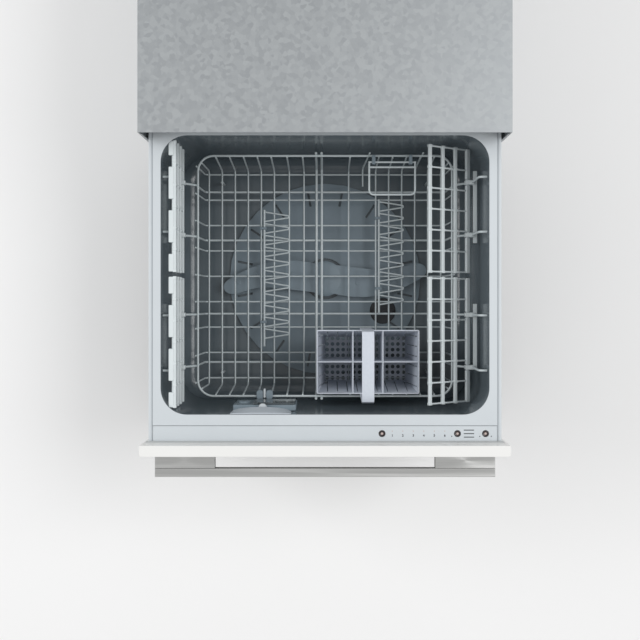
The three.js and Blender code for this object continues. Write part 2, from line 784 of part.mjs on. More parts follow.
// ---- Front panel, its steel frame and the handle --------------------------------------------------------

add(drawer, 'front_panel', slab(outline([
  [-panelWidth / 2, panelBack], [-panelWidth / 2, panelFront + panelArris],
  [-panelWidth / 2 + panelArris, panelFront], [panelWidth / 2 - panelArris, panelFront],
  [panelWidth / 2, panelFront + panelArris], [panelWidth / 2, panelBack],
]), panelBottom, panelTop), whitePanel);

const frameBack = openingFront - tubWall - seat;
const frameFace = panelBack + seat;
const frameFootRise = 60;
const framePlate = block([-frameHalfWidth, frameHalfWidth], [frameFace, frameFace + frameSheet],
  [frameBottom, frameTop]);
const frameSides = [-1, 1].map((side) => block(span(side, frameHalfWidth - frameSheet, frameHalfWidth),
  [frameFace, frameBack], [frameBottom, frameTop]));
const frameFeet = [-1, 1].map((side) => block(span(side, frameHalfWidth - 24, frameHalfWidth),
  [frameBack - frameSheet, frameBack], [frameBottom + frameFootRise, frameTop]));
add(drawer, 'front_frame', join([framePlate, ...frameSides, ...frameFeet]), zincSteel);

const barFront = panelFront - handleReach;
const barBack = barFront + barDepth;
const handleUnderside = handleTop - handleThickness;
const easing = 1;
const barSection = outline([
  [barFront, handleUnderside + easing], [barFront + easing, handleUnderside], [barBack, handleUnderside],
  [barBack, handleTop], [barFront + easing, handleTop], [barFront, handleTop - easing],
]);
add(drawer, 'handle_bar', alongX(barSection, -handleWidth / 2, handleWidth / 2), brushedSteel);
for (const [name, side] of [['left', -1], ['right', 1]]) {
  add(drawer, `handle_shoulder_${name}`, block(span(side, handleWidth / 2 - shoulderWidth, handleWidth / 2),
    [barBack + seat, panelFront - seat], [handleUnderside, handleTop]), brushedSteel);
}

// ---- Wash gear under and on the tub floor ---------------------------------------------------------------

const sumpTop = tubUnderside - seat;
const sumpBottom = sumpTop - sumpDepth - sumpWall;
const motorTop = sumpBottom - seat;
const shaftHole = shaftRadius + slip;
const sump = turned([
  [shaftHole, sumpBottom], [sumpRadius, sumpBottom], [sumpRadius, sumpTop - sumpWall],
  [sumpFlangeRadius, sumpTop - sumpWall], [sumpFlangeRadius, sumpTop], [floorHoleRadius + 3, sumpTop],
  [floorHoleRadius - 2, sumpBottom + sumpWall], [shaftHole, sumpBottom + sumpWall], [shaftHole, sumpBottom],
], 32);
add(drawer, 'sump', sump.translate([0, tubMiddle, 0]), greyPlastic);

const motorBore = 14;
const motor = turned([
  [0, motorBottom], [motorRadius - 6, motorBottom], [motorRadius, motorBottom + 5],
  [motorRadius, motorTop - 4], [motorRadius - 8, motorTop], [shaftHole, motorTop],
  [shaftHole, motorTop - motorBore], [0, motorTop - motorBore],
], 28);
add(drawer, 'wash_motor', motor.translate([0, tubMiddle, 0]), darkPlastic);

// The impeller: a disc with curved vanes on the motor's shaft.
const impellerFoot = sumpBottom + sumpWall + 1.5;
const vaneTop = sumpTop - 3;
const vaneThickness = 1.6;
const impellerParts = [
  disc(impellerRadius, impellerFoot, impellerFoot + 2),
  disc(shaftRadius + 4, impellerFoot, vaneTop, 12),
  disc(shaftRadius, motorTop - motorBore + 1, impellerFoot + 1, 12),
];
for (let i = 0; i < impellerVanes; i += 1) {
  const turn = 2 * Math.PI * i / impellerVanes;
  const spine = [0, 1, 2, 3].map((step) => {
    const reach = 6 + (impellerRadius - 7) * step / 3;
    const lean = turn + 0.28 * step;
    return [reach * Math.cos(lean), reach * Math.sin(lean)];
  });
  const offset = ([x, y], distance) => {
    const length = Math.hypot(x, y);
    return [x - y / length * distance, y + x / length * distance];
  };
  const near = spine.map((point) => offset(point, -vaneThickness / 2));
  const far = spine.map((point) => offset(point, vaneThickness / 2)).reverse();
  impellerParts.push(slab(outline([...near, ...far]), impellerFoot + 1, vaneTop));
}
add(drawer, 'impeller', join(impellerParts).translate([0, tubMiddle, 0]), darkPlastic);

const pumpHeight = sumpBottom + 4;
const pumpRadius = 18;
const drainPump = join([
  rod([sumpRadius + seat, tubMiddle, pumpHeight + 4], [sumpRadius + 26, tubMiddle, pumpHeight + 4], 8, 14),
  rod([sumpFlangeRadius + 2, tubMiddle, pumpHeight], [sumpFlangeRadius + 52, tubMiddle, pumpHeight], pumpRadius, 20),
  rod([sumpFlangeRadius + 12, tubMiddle, pumpHeight], [sumpFlangeRadius + 12, tubMiddle + 34, pumpHeight], 7, 12),
]);
add(drawer, 'drain_pump', drainPump, darkPlastic);

// The post that the spray arm turns on, held by three legs over the floor opening.
const postFoot = tubFloor + seat;
const legReach = heaterInner - 2;
const postParts = [disc(postRadius, postFoot, postTop, 16), disc(postRadius + 5, postFoot, postFoot + 4, 16)];
for (let i = 0; i < 3; i += 1) {
  const angle = 2 * Math.PI * i / 3;
  const leg = block([0, legReach], [-3, 3], [postFoot, postFoot + 2.5]);
  postParts.push(leg.rotate([0, 0, angle * 180 / Math.PI]));
}
add(drawer, 'arm_post', join(postParts).translate([0, tubMiddle, 0]), greyPlastic);

const heater = turned([
  [heaterInner, tubFloor + seat], [heaterOuter, tubFloor + seat], [heaterOuter, tubFloor + seat + heaterThickness],
  [heaterInner, tubFloor + seat + heaterThickness], [heaterInner, tubFloor + seat],
], 32);
add(drawer, 'heater_plate', heater.translate([0, tubMiddle, 0]), brushedSteel);

// Filter plate: a shallow dish over the heater, slotted near its edge, with a seat for the drain filter.
const filterUnderside = tubFloor + heaterThickness + 2 * seat;
const filterDish = turned([
  [heaterInner, filterUnderside], [filterRadius - 3, filterUnderside], [filterRadius - 3, tubFloor + seat],
  [filterRadius, tubFloor + seat], [filterRadius, filterUnderside + filterThickness],
  [filterRadius - 50, filterUnderside + filterThickness + 1.5], [heaterOuter, filterUnderside + filterThickness],
  [heaterInner, filterUnderside + filterThickness + 1], [heaterInner, filterUnderside],
], 32);
const filterCuts = [disc(drainFilterRadius + slip, tubUnderside, armUnderside).translate([...drainFilterPlace, 0])];
for (let i = 0; i < filterSlots; i += 1) {
  const slot = block([filterRadius - 42, filterRadius - 12], [-2, 2], [tubFloor - 2, tubFloor + 20]);
  filterCuts.push(slot.rotate([0, 0, 360 * (i + 0.5) / filterSlots]));
}
add(drawer, 'filter_plate', cut(filterDish, filterCuts).translate([0, tubMiddle, 0]), greyPlastic);

const drainFilterTop = filterUnderside + 8;
const drainFilter = join([
  turned([
    [0, tubFloor + seat], [drainFilterRadius - 4, tubFloor + seat], [drainFilterRadius, filterUnderside],
    [drainFilterRadius, drainFilterTop - 5], [drainFilterRadius - 3, drainFilterTop - 5],
    [drainFilterRadius - 6, drainFilterTop - 7], [0, drainFilterTop - 7],
  ], 28),
  block([-drainFilterRadius + 5, drainFilterRadius - 5], [-2.5, 2.5], [drainFilterTop - 8, drainFilterTop]),
]);
add(drawer, 'drain_filter', drainFilter.translate([drainFilterPlace[0], tubMiddle + drainFilterPlace[1], 0]),
  darkPlastic);

// The spray arm: two swept blades of changing width round a hub that sits on the post.
function armBlade() {
  const shape = new THREE.Shape();
  shape.moveTo(armHubRadius * 0.3, -armHubRadius * 0.8);
  shape.bezierCurveTo(70, -44, 130, -36, armRadius - 14, 2);
  shape.quadraticCurveTo(armRadius, 12, armRadius - 8, 24);
  shape.quadraticCurveTo(armRadius - 18, 34, armRadius - 40, 26);
  shape.bezierCurveTo(120, 8, 70, 22, armHubRadius * 0.3, armHubRadius * 0.8);
  return slab(shape, armUnderside, armUnderside + armThickness, 8);
}

const nozzleRadius = 4;
const nozzlePlaces = [[62, -8], [98, -12], [134, -8], [166, 6]];
const armParts = [armBlade(), armBlade().rotate([0, 0, 180])];
const armTop = armUnderside + armThickness;
for (const half of [0, 180]) {
  for (const [x, y] of nozzlePlaces) {
    armParts.push(disc(nozzleRadius, armTop - 1, armTop + 1.5, 10).translate([x, y, 0]).rotate([0, 0, half]));
  }
}
const hubFoot = armUnderside - 3;
armParts.push(turned([
  [0, hubFoot], [armHubRadius - 4, hubFoot], [armHubRadius, hubFoot + 4], [armHubRadius, hubFoot + armHubHeight - 3],
  [armHubRadius - 5, hubFoot + armHubHeight], [0, hubFoot + armHubHeight + 2],
], 28));
const hubSocket = disc(postRadius + slip, hubFoot - 1, postTop + seat, 16);
add(drawer, 'spray_arm', join(armParts).subtract(hubSocket).translate([0, tubMiddle, 0]), palePlastic);

// ---- Detergent dispenser on the front wall --------------------------------------------------------------

const wallHeight = rimTop - tubFloor - floorFillet;
const wallPlane = openingFront + tubDraft * (rimTop - dispenserBottom) / wallHeight + seat;
const dispenserFace = wallPlane + dispenserReach;
const bulgeFace = wallPlane + bulgeReach;

const bulge = new THREE.Shape();
const bulgeMiddle = (bulgeX[0] + bulgeX[1]) / 2;
bulge.moveTo(bulgeX[0], wallPlane);
bulge.lineTo(bulgeX[1], wallPlane);
bulge.quadraticCurveTo(bulgeX[1] - 14, bulgeFace, bulgeMiddle, bulgeFace);
bulge.quadraticCurveTo(bulgeX[0] + 14, bulgeFace, bulgeX[0], wallPlane);
const dispenserBody = join([
  block(dispenserX, [wallPlane, dispenserFace], [dispenserBottom, bulgeBottom]),
  slab(bulge, bulgeBottom - 1, dispenserTop, 6),
]);
const cup = block([doseX[0] + cupMargin, doseX[1] - cupMargin], [dispenserFace - cupDepth, dispenserFace + 5],
  [doseZ[0] + cupMargin, doseZ[1] - cupMargin]);
const [capX, capZ] = rinseCapPlace;
const capSocket = rod([capX, dispenserFace - 5, capZ], [capX, dispenserFace + 5, capZ],
  rinseCapRadius + slip, 20);
add(drawer, 'dispenser_body', cut(dispenserBody, [cup, capSocket]), palePlastic);

// The lid's bottom edge is rounded about its hinge line.
const doseBack = dispenserFace + seat;
const doseHinge = [doseBack + doseLidThickness / 2, doseZ[0] + doseLidHinge];
const doseLid = join([
  block(doseX, [doseBack, doseBack + doseLidThickness], [doseHinge[1], doseZ[1]]),
  rod([doseX[0], ...doseHinge], [doseX[1], ...doseHinge], doseLidHinge, 12),
]);
const fingerDip = block([latchPlace - 9, latchPlace + 9], [doseBack + doseLidThickness / 2, doseBack + doseLidThickness + 1],
  [doseZ[1] - 8, doseZ[1] + 1]);
add(drawer, 'dispenser_lid', doseLid.subtract(fingerDip), clearLid);

const latchFoot = bulgeBottom + latchTravel + seat;
const latchShape = new THREE.Shape();
latchShape.absarc(0, 0, latchRadius, 0, Math.PI, false);
latchShape.closePath();
const latch = slab(latchShape, latchFoot, latchFoot + latchHeight, 6);
add(drawer, 'dispenser_latch', latch.translate([latchPlace, bulgeFace + seat, 0]), palePlastic);

const capFace = dispenserFace + rinseCapProud;
const rinseCap = rod([capX, dispenserFace - 4.7, capZ], [capX, capFace, capZ], rinseCapRadius, 20);
const fingerSlots = [-1, 1].map((side) => block([capX + side * 5 - 2, capX + side * 5 + 2],
  [capFace - 3, capFace + 1], [capZ - 6, capZ + 6]));
add(drawer, 'rinse_cap', cut(rinseCap, fingerSlots), greyPlastic);

// ---- Wire basket ------------------------------------------------------------------------------------------

const lapTo = (outer, inner) => (outer + inner) / 2 - weld;
const legInset = lapTo(railWire, basketWire);
const hangerInset = lapTo(railWire, hangerWire);
const railY = basketMiddle;

const legTopHalf = railHalfDepth - legInset;
const hangerFloor = basketFloor - lapTo(basketWire, hangerWire);
const crossFloor = basketFloor - lapTo(basketWire, basketWire);
const hangerAtRail = railHalfWidth + hangerInset;
const hangerLow = floorHalfWidth + wireBend;

const basketParts = [wireRing(railHalfWidth, railHalfDepth, railY, railHeight, railWire, railRadius)];
const floorPlaces = [...floorInnerPlaces];
for (let i = 0; i < floorOuterWires; i += 1) {
  const x = floorHalfWidth - i * floorPitch;
  floorPlaces.push(-x, x);
}
// Where the legs meet the rail: on its straight sides, or part way round a corner.
function legTop(x) {
  const past = Math.abs(x) - (railHalfWidth - railRadius);
  const round = railRadius - legInset;
  return past > 0 ? railHalfDepth - railRadius + Math.sqrt(round * round - past * past) : legTopHalf;
}

for (const x of floorPlaces) {
  const top = legTop(x);
  basketParts.push(wire([
    [x, railY - top, railHeight + 1], [x, railY - floorHalfDepth, basketFloor],
    [x, railY + floorHalfDepth, basketFloor], [x, railY + top, railHeight + 1],
  ], basketWire, wireBend, 5));
}
// A stout pair of wires that parts the basket, reaching over the rail at both ends.
const stoutTop = railHalfDepth + lapTo(railWire, stoutWire);
const stoutFloor = floorHalfDepth + 4;
for (const x of stoutPlaces) {
  basketParts.push(wire([
    [x, railY - stoutTop, railHeight + 6], [x, railY - stoutFloor, basketFloor],
    [x, railY + stoutFloor, basketFloor], [x, railY + stoutTop, railHeight + 6],
  ], stoutWire));
}
// Cross wires that run on up the sides and hook out towards the tub wall, with the rack clips on them.
for (const place of hangerPlaces) {
  const y = tubMiddle + place;
  const half = (side) => [
    [side * hangerReach, y, hangerTop], [side * hangerRise, y, hangerTop],
    [side * hangerRise, y, rackHingeHeight + 4], [side * hangerAtRail, y, railHeight + 2],
    [side * hangerLow, y, hangerFloor],
  ];
  basketParts.push(wire([...half(-1), ...half(1).reverse()], hangerWire, 10));
  for (const side of [-1, 1]) {
    const clip = block(span(side, rackHinge - 5, hangerRise + 4), [y - rackClipWidth / 2, y + rackClipWidth / 2],
      [rackHingeHeight - 7, rackHingeHeight + 8]);
    const hole = rod([side * rackHinge, y - 20, rackHingeHeight], [side * rackHinge, y + 20, rackHingeHeight],
      rackPinRadius + seat, 12);
    basketParts.push(clip.subtract(hole));
  }
}
for (const place of crossPlaces) {
  const y = tubMiddle + place;
  basketParts.push(rod([-floorHalfWidth - 2, y, crossFloor], [floorHalfWidth + 2, y, crossFloor],
    basketWire / 2, 5));
}
// Feet that stand on the tub floor.
const footX = floorHalfWidth - floorPitch;
const footY = floorHalfDepth - footSetback;
for (const [sideX, sideY] of [[1, 1], [1, -1], [-1, 1], [-1, -1]]) {
  const x = sideX * footX;
  const y = railY + sideY * footY;
  basketParts.push(rod([x, y, tubFloor + seat], [x, y, basketFloor + 1], footWire / 2, 8));
}
// Bearing blocks for the tine rods and the rear shelf.
const tineHeight = basketFloor + basketWire / 2 + tineRod / 2 + seat;
const tineHole = tineRod / 2 + seat;

function rowPlace({ wire: index }) {
  return Math.sign(index) * (floorHalfWidth - Math.abs(index) * floorPitch) + tineRodOffset;
}

for (const row of tineRows) {
  const x = rowPlace(row);
  for (const tineNumber of [2, row.count - 1]) {
    const y = tubMiddle + row.y + tineNumber * tinePitch;
    const bearing = block([x - tineRodOffset - 2, x + 4.5], [y - 2.5, y + 2.5], [basketFloor - 1, tineHeight + 4.5]);
    const bore = rod([x, y - 10, tineHeight], [x, y + 10, tineHeight], tineHole, 8);
    basketParts.push(bearing.subtract(bore));
  }
}
const shelfY = railY + railHalfDepth - shelfSetback;
const shelfHeight = railHeight + 8;
const shelfBore = shelfWire / 2 + seat;
for (const x of [shelfPlace[0] + 8, shelfPlace[1] - 8]) {
  const bearing = block([x - 3, x + 3], [shelfY - 4, railY + railHalfDepth], [railHeight - 1, shelfHeight + 4]);
  const bore = rod([x - 10, shelfY, shelfHeight], [x + 10, shelfY, shelfHeight], shelfBore, 10);
  basketParts.push(bearing.subtract(bore));
}
// The wires in five parts: a floor tray, and four sides parted just above it and in the rail's corners.
const basketWires = join(basketParts);
const sideFoot = basketFloor + wireBend - 2;
const endCut = floorHalfDepth - 4.5;
const sideCut = railHalfWidth - railRadius;
const far = 2 * chassisWidth;
const basketSides = [
  ['front', [-far, far], [railY - far, railY - endCut]],
  ['rear', [-far, far], [railY + endCut, railY + far]],
  ['left', [-far, -sideCut], [railY - endCut + seat, railY + endCut - seat]],
  ['right', [sideCut, far], [railY - endCut + seat, railY + endCut - seat]],
];
const aboveFloor = basketSides.map(([, alongX, alongY]) => block(alongX, [alongY[0] - seat, alongY[1] + seat],
  [sideFoot, far]));
add(drawer, 'basket_floor', cut(basketWires, aboveFloor), coatedWire);
for (const [name, alongX, alongY] of basketSides) {
  add(drawer, `basket_${name}`, basketWires.intersect(block(alongX, alongY, [sideFoot + seat, far])), coatedWire);
}

// A plastic clip on the front rail.
const railFront = railY - railHalfDepth;
const clipBody = block([clipPlace - clipWidth / 2, clipPlace + clipWidth / 2],
  [railFront - railWire / 2 - 1, railFront + 14], [railHeight - 6, railHeight + 7]);
const clipChannel = block([clipPlace - clipWidth, clipPlace + clipWidth],
  [railFront - railWire / 2 - seat, railFront + railWire / 2 + 3.6], [railHeight - 12, railHeight + railWire / 2 + 1.4]);
const clipBore = block([clipPlace - 3, clipPlace + 3], [railFront + 8, railFront + 20],
  [railHeight - 12, railHeight + 12]);
add(drawer, 'basket_clip', cut(clipBody, [clipChannel, clipBore]), greyPlastic);

// ---- Cup racks: bars and cross wires, with a toothed free edge -----------------------------------------

const rackGap = 8.6;
const rackLength = (rackRearEnd - rackFrontEnd - rackGap) / 2;
const rackWirePitch = (rackLength - rackWire) / (rackWireCount - 1);

// A rack standing upright on its hinge line, which is the local Y axis.
function cupRack() {
  const parts = [rod([0, 0, 0], [0, rackLength, 0], rackPinRadius, 10)];
  const free = (rackBars - 1) * rackBarPitch;
  for (let i = 1; i < rackBars; i += 1) {
    const z = i * rackBarPitch;
    parts.push(block([-rackBarThickness / 2, rackBarThickness / 2], [0, rackLength],
      [z - rackBarWidth / 2, z + rackBarWidth / 2]));
  }
  for (let i = 0; i < rackWireCount; i += 1) {
    const y = rackWire / 2 + i * rackWirePitch;
    parts.push(block([-rackWire / 2, rackWire / 2], [y - rackWire / 2, y + rackWire / 2], [0, free]));
  }
  const teeth = [];
  const middle = rackLength / 2;
  const first = -Math.floor(middle / (toothLength + toothGap)) - 1;
  for (let i = first; i <= -first; i += 1) {
    const from = Math.max(middle + i * (toothLength + toothGap) - toothLength / 2 - 10, toothInset);
    const to = Math.min(middle + i * (toothLength + toothGap) + toothLength / 2 - 10, rackLength - toothInset);
    if (to - from > rackBarWidth) {
      teeth.push(block([-rackBarThickness / 2 - toothReach, 0], [from, to],
        [free - rackBarWidth / 2, free + rackBarWidth / 2]));
    }
  }
  return join([...parts, ...teeth]);
}

for (const [sideName, side] of [['left', -1], ['right', 1]]) {
  for (const [endName, start] of [['rear', rackRearEnd - rackLength], ['front', rackFrontEnd]]) {
    const rack = add(drawer, `cup_rack_${sideName}_${endName}`, cupRack(), coatedWire);
    rack.position.set(side * rackHinge, tubMiddle + start, rackHingeHeight);
    rack.rotation.y = side > 0 ? -hingeDegrees * Math.PI / 180 : 0;
  }
}

// ---- Folding tines and the rear shelf ----------------------------------------------------------------------

for (const row of tineRows) {
  const x = rowPlace(row);
  const start = tubMiddle + row.y;
  const end = start + (row.count + 0.5) * tinePitch;
  const parts = [rod([x, start - 2, tineHeight], [x, end + 2, tineHeight], tineRod / 2, 8)];
  for (let i = 0; i < row.count; i += 1) {
    parts.push(tine(x, start + i * tinePitch));
  }
  add(drawer, row.name, join(parts), coatedWire);
}

// One tine lying flat: a wire bent to a narrow V from the rod.
function tine(x, y) {
  const tipHalf = 1.8;
  const baseHalf = tinePitch / 2 - 2;
  const middle = y + tinePitch;
  return wire([
    [x, middle - baseHalf, tineHeight], [x + tineLength, middle - tipHalf, tineHeight],
    [x + tineLength, middle + tipHalf, tineHeight], [x, middle + baseHalf, tineHeight],
  ], tineWire, 1, 5);
}

const [shelfFrom, shelfTo] = shelfPlace;
const shelfParts = [
  wire([
    [shelfFrom, shelfY, shelfHeight], [shelfFrom, shelfY - shelfReach, shelfHeight],
    [shelfTo, shelfY - shelfReach, shelfHeight], [shelfTo, shelfY, shelfHeight],
  ], shelfWire, 8),
  rod([shelfFrom - shelfWire / 2, shelfY, shelfHeight], [shelfTo + shelfWire / 2, shelfY, shelfHeight], shelfWire / 2, 8),
  rod([shelfFrom, shelfY - 9, shelfHeight], [shelfTo, shelfY - 9, shelfHeight], shelfWire / 2, 6),
];
add(drawer, 'rear_shelf', join(shelfParts), coatedWire);

// ---- Cutlery basket -----------------------------------------------------------------------------------------

const cutleryBottom = basketFloor + basketWire / 2 + seat;
const cutleryMiddleX = (cutleryX[0] + cutleryX[1]) / 2;
const cutleryMiddleY = tubMiddle + (cutleryY[0] + cutleryY[1]) / 2;
const cutleryHalfX = (cutleryX[1] - cutleryX[0]) / 2;
const cutleryHalfY = (cutleryY[1] - cutleryY[0]) / 2;

function cutleryRing(inset, z) {
  return ring(cutleryHalfX - inset, cutleryHalfY - inset, cutleryRadius, cutleryMiddleX, cutleryMiddleY, z, 2);
}

const cutleryOuter = loft([cutleryRing(cutleryTaper, cutleryBottom), cutleryRing(0, cutleryTop)]);
const taperAt = (z) => cutleryTaper * (cutleryTop - z) / (cutleryTop - cutleryBottom);
const pocketFloor = cutleryBottom + cutleryWall;
const cutleryInner = loft([cutleryRing(taperAt(pocketFloor) + cutleryWall, pocketFloor),
  cutleryRing(cutleryWall, cutleryTop + 0.001)]);
const dividers = [
  ...cutleryDividers.map((x) => block([x - cutleryWall / 2, x + cutleryWall / 2],
    [cutleryMiddleY - cutleryHalfY + 1, cutleryMiddleY + cutleryHalfY - 1], [cutleryBottom, cutleryTop])),
  block([cutleryX[0] + 1, cutleryX[1] - 1], [cutleryMiddleY - cutleryWall / 2, cutleryMiddleY + cutleryWall / 2],
    [cutleryBottom, cutleryTop]),
].map((wall) => wall.intersect(cutleryOuter));
const drainSlots = [];
const cells = [cutleryX[0] + cutleryTaper, ...cutleryDividers, cutleryX[1] - cutleryTaper];
for (let cell = 0; cell < cells.length - 1; cell += 1) {
  const width = cells[cell + 1] - cells[cell] - 10;
  const count = Math.floor(width / cutlerySlotPitch);
  for (let i = 0; i < count; i += 1) {
    const x = (cells[cell] + cells[cell + 1]) / 2 + (i - (count - 1) / 2) * cutlerySlotPitch;
    for (const side of [-1, 1]) {
      const y = cutleryMiddleY + side * cutleryHalfY / 2 - side * 3;
      drainSlots.push(block([x - cutlerySlotWidth / 2, x + cutlerySlotWidth / 2],
        [y - cutleryHalfY / 3, y + cutleryHalfY / 3], [cutleryBottom - 5, pocketFloor + 5]));
    }
  }
}
const cutleryShell = cut(cutleryOuter.subtract(cutleryInner), drainSlots);
add(drawer, 'cutlery_basket', join([cutleryShell, ...dividers]), cutleryPlastic);

// The flat strap handle, arched over the middle and springing from the front and back walls.
const strapSection = outline([
  [-strapThickness / 2, -strapWidth / 2], [strapThickness / 2, -strapWidth / 2],
  [strapThickness / 2, strapWidth / 2], [-strapThickness / 2, strapWidth / 2],
]);
const strapBack = cutleryMiddleY + cutleryHalfY + seat + strapThickness / 2;
const strapFront = cutleryMiddleY - cutleryHalfY - seat - strapThickness / 2;
const strapFoot = cutleryTop - 9;
const strapCrown = strapTop - strapThickness / 2;
add(drawer, 'cutlery_handle', bent([
  [strapCentre, strapBack, strapFoot], [strapCentre, strapBack, strapCrown],
  [strapCentre, strapFront - strapFrontReach + strapThickness, strapCrown],
  [strapCentre, strapFront, cutleryTop + 6], [strapCentre, strapFront, strapFoot],
], strapSection, strapBend), cutleryPlastic);

export default unit;
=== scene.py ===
from math import radians, sqrt, tan

import bpy
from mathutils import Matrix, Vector


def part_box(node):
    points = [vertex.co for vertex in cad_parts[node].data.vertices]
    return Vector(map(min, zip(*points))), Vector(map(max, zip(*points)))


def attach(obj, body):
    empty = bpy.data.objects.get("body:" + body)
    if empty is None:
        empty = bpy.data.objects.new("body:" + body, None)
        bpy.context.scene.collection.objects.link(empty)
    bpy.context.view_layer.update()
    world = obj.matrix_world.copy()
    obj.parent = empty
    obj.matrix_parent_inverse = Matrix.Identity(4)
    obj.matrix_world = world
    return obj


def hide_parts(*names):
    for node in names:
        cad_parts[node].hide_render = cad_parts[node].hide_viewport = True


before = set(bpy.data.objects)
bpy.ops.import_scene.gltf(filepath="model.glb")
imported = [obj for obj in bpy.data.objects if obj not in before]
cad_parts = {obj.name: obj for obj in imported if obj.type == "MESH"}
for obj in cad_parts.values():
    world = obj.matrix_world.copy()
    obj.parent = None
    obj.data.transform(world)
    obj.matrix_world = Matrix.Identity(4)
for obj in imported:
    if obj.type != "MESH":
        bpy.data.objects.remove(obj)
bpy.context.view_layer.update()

# ---- Chassis sheets ------------------------------------------------------------------------------
# The fixed box that stays in the cabinet: base pan, top, sides and back folded from thin
# galvanised sheet steel, spot welded and screwed together. Its zinc coat shows dull crystals,
# a few millimetres across, that catch the light differently from one to the next.

CHASSIS_SHEETS = ["chassis_base", "chassis_top", "chassis_side_left", "chassis_side_right"]
SPANGLE = 0.007


def srgb(code):
    channels = [int(code[i : i + 2], 16) / 255 for i in (1, 3, 5)]
    linear = [c / 12.92 if c <= 0.04045 else ((c + 0.055) / 1.055) ** 2.4 for c in channels]
    return (*linear, 1.0)


def add_node(tree, kind, inputs=None, **settings):
    node = tree.nodes.new(kind)
    for name, value in settings.items():
        setattr(node, name, value)
    for socket, value in (inputs or {}).items():
        if isinstance(value, bpy.types.NodeSocket):
            tree.links.new(value, node.inputs[socket])
        else:
            node.inputs[socket].default_value = value
    return node


def new_finish(name, roughness, metallic=0.0, **sockets):
    material = bpy.data.materials.new(name)
    material.use_nodes = True
    tree = material.node_tree
    shader = tree.nodes["Principled BSDF"]
    shader.inputs["Roughness"].default_value = roughness
    shader.inputs["Metallic"].default_value = metallic
    for socket, value in sockets.items():
        shader.inputs[socket.replace("_", " ")].default_value = value
    return material, tree, shader


def noise(tree, scale, detail, stretch=(1, 1, 1)):
    """Soft noise over a finish, which stretch draws out or squeezes along each axis."""
    place = add_node(tree, "ShaderNodeTexCoord").outputs["Object"]
    place = add_node(tree, "ShaderNodeMapping", {"Vector": place, "Scale": stretch}).outputs["Vector"]
    cloud = add_node(tree, "ShaderNodeTexNoise", {"Vector": place, "Scale": scale, "Detail": detail})
    return cloud.outputs["Fac"]


def tint(tree, shader, pattern, low_tone, high_tone):
    """Lets a pattern move a finish's colour between two tones."""
    tones = {0: pattern, 6: srgb(low_tone), 7: srgb(high_tone)}
    tone = add_node(tree, "ShaderNodeMix", tones, data_type="RGBA")
    tree.links.new(tone.outputs[2], shader.inputs["Base Color"])


def vary_gloss(tree, shader, pattern, least, most):
    """Lets a pattern move a finish's roughness between two values."""
    gloss = add_node(tree, "ShaderNodeMapRange", {"Value": pattern, "To Min": least, "To Max": most})
    tree.links.new(gloss.outputs["Result"], shader.inputs["Roughness"])


def emboss(tree, shader, pattern, strength, depth):
    """Raises a pattern on a finish."""
    bump = add_node(tree, "ShaderNodeBump", {"Strength": strength, "Distance": depth, "Height": pattern})
    tree.links.new(bump.outputs["Normal"], shader.inputs["Normal"])


def dress(names, material):
    for name in names:
        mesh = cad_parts[name].data
        mesh.materials.clear()
        mesh.materials.append(material)


zinc, tree, shader = new_finish("Galvanised sheet steel", 0.5, 0.85)
place = add_node(tree, "ShaderNodeTexCoord").outputs["Object"]
spangle = add_node(tree, "ShaderNodeTexVoronoi", {"Vector": place, "Scale": 1 / SPANGLE})
grey = add_node(tree, "ShaderNodeSeparateColor", {"Color": spangle.outputs["Color"]}).outputs["Red"]
tint(tree, shader, grey, "#A4A8AB", "#AEB2B4")
vary_gloss(tree, shader, grey, 0.46, 0.55)
dress(CHASSIS_SHEETS, zinc)

# ---- Rear services -------------------------------------------------------------------------------
# The water inlet valve, the drain outlet and the mains terminal box are small nylon and
# polypropylene mouldings fixed inside the back sheet, with their stubs flush in its ports.

moulded_dark, tree, shader = new_finish("Moulded dark grey nylon", 0.55)
tint(tree, shader, noise(tree, 60, 3), "#292B2E", "#36393C")
emboss(tree, shader, noise(tree, 1 / 0.0012, 1), 0.15, 0.0003)
dress(["drain_outlet", "terminal_box"], moulded_dark)

moulded_pale, tree, shader = new_finish("Moulded pale grey polypropylene", 0.42)
tint(tree, shader, noise(tree, 25, 2), "#BEC5CA", "#C9CFD4")
emboss(tree, shader, noise(tree, 1 / 0.0015, 1), 0.12, 0.0003)
dress(["inlet_valve"], moulded_pale)

# ---- Telescopic runners --------------------------------------------------------------------------
# Three nested channels a side, rolled from steel strip and bright zinc plated. The rolling leaves
# faint streaks along their length.

MEMBERS = ("fixed", "middle", "inner")
RUNNERS = [f"runner_{member}_{side}" for member in MEMBERS for side in ("left", "right")]

plated, tree, shader = new_finish("Bright zinc plated strip", 0.34, 1.0)
streak = noise(tree, 1, 3, (400, 12, 400))
tint(tree, shader, streak, "#A9ADB0", "#C6C9CA")
vary_gloss(tree, shader, streak, 0.26, 0.42)
dress(RUNNERS, plated)
dress(["tub_bracket_left", "tub_bracket_right", "front_frame"], zinc)

# ---- Lid, its seal and drives --------------------------------------------------------------------
# A ribbed polypropylene moulding hung between two drives at the chassis sides, which lower it on
# to the shut tub. A soft rubber seal sits in a groove round its underside.


def start():
    if bpy.context.object and bpy.context.object.mode != "OBJECT":
        bpy.ops.object.mode_set(mode="OBJECT")
    bpy.ops.object.select_all(action="DESELECT")


def only(obj):
    start()
    obj.select_set(True)
    bpy.context.view_layer.objects.active = obj
    return obj


def settle(obj):
    """Puts an object's place, turn and size into its mesh."""
    only(obj)
    bpy.ops.object.transform_apply(location=True, rotation=True, scale=True)
    return obj


def modify(obj, kind, **settings):
    only(obj)
    modifier = obj.modifiers.new(kind.title(), kind)
    for name, value in settings.items():
        setattr(modifier, name, value)
    bpy.ops.object.modifier_apply(modifier=modifier.name)
    return obj


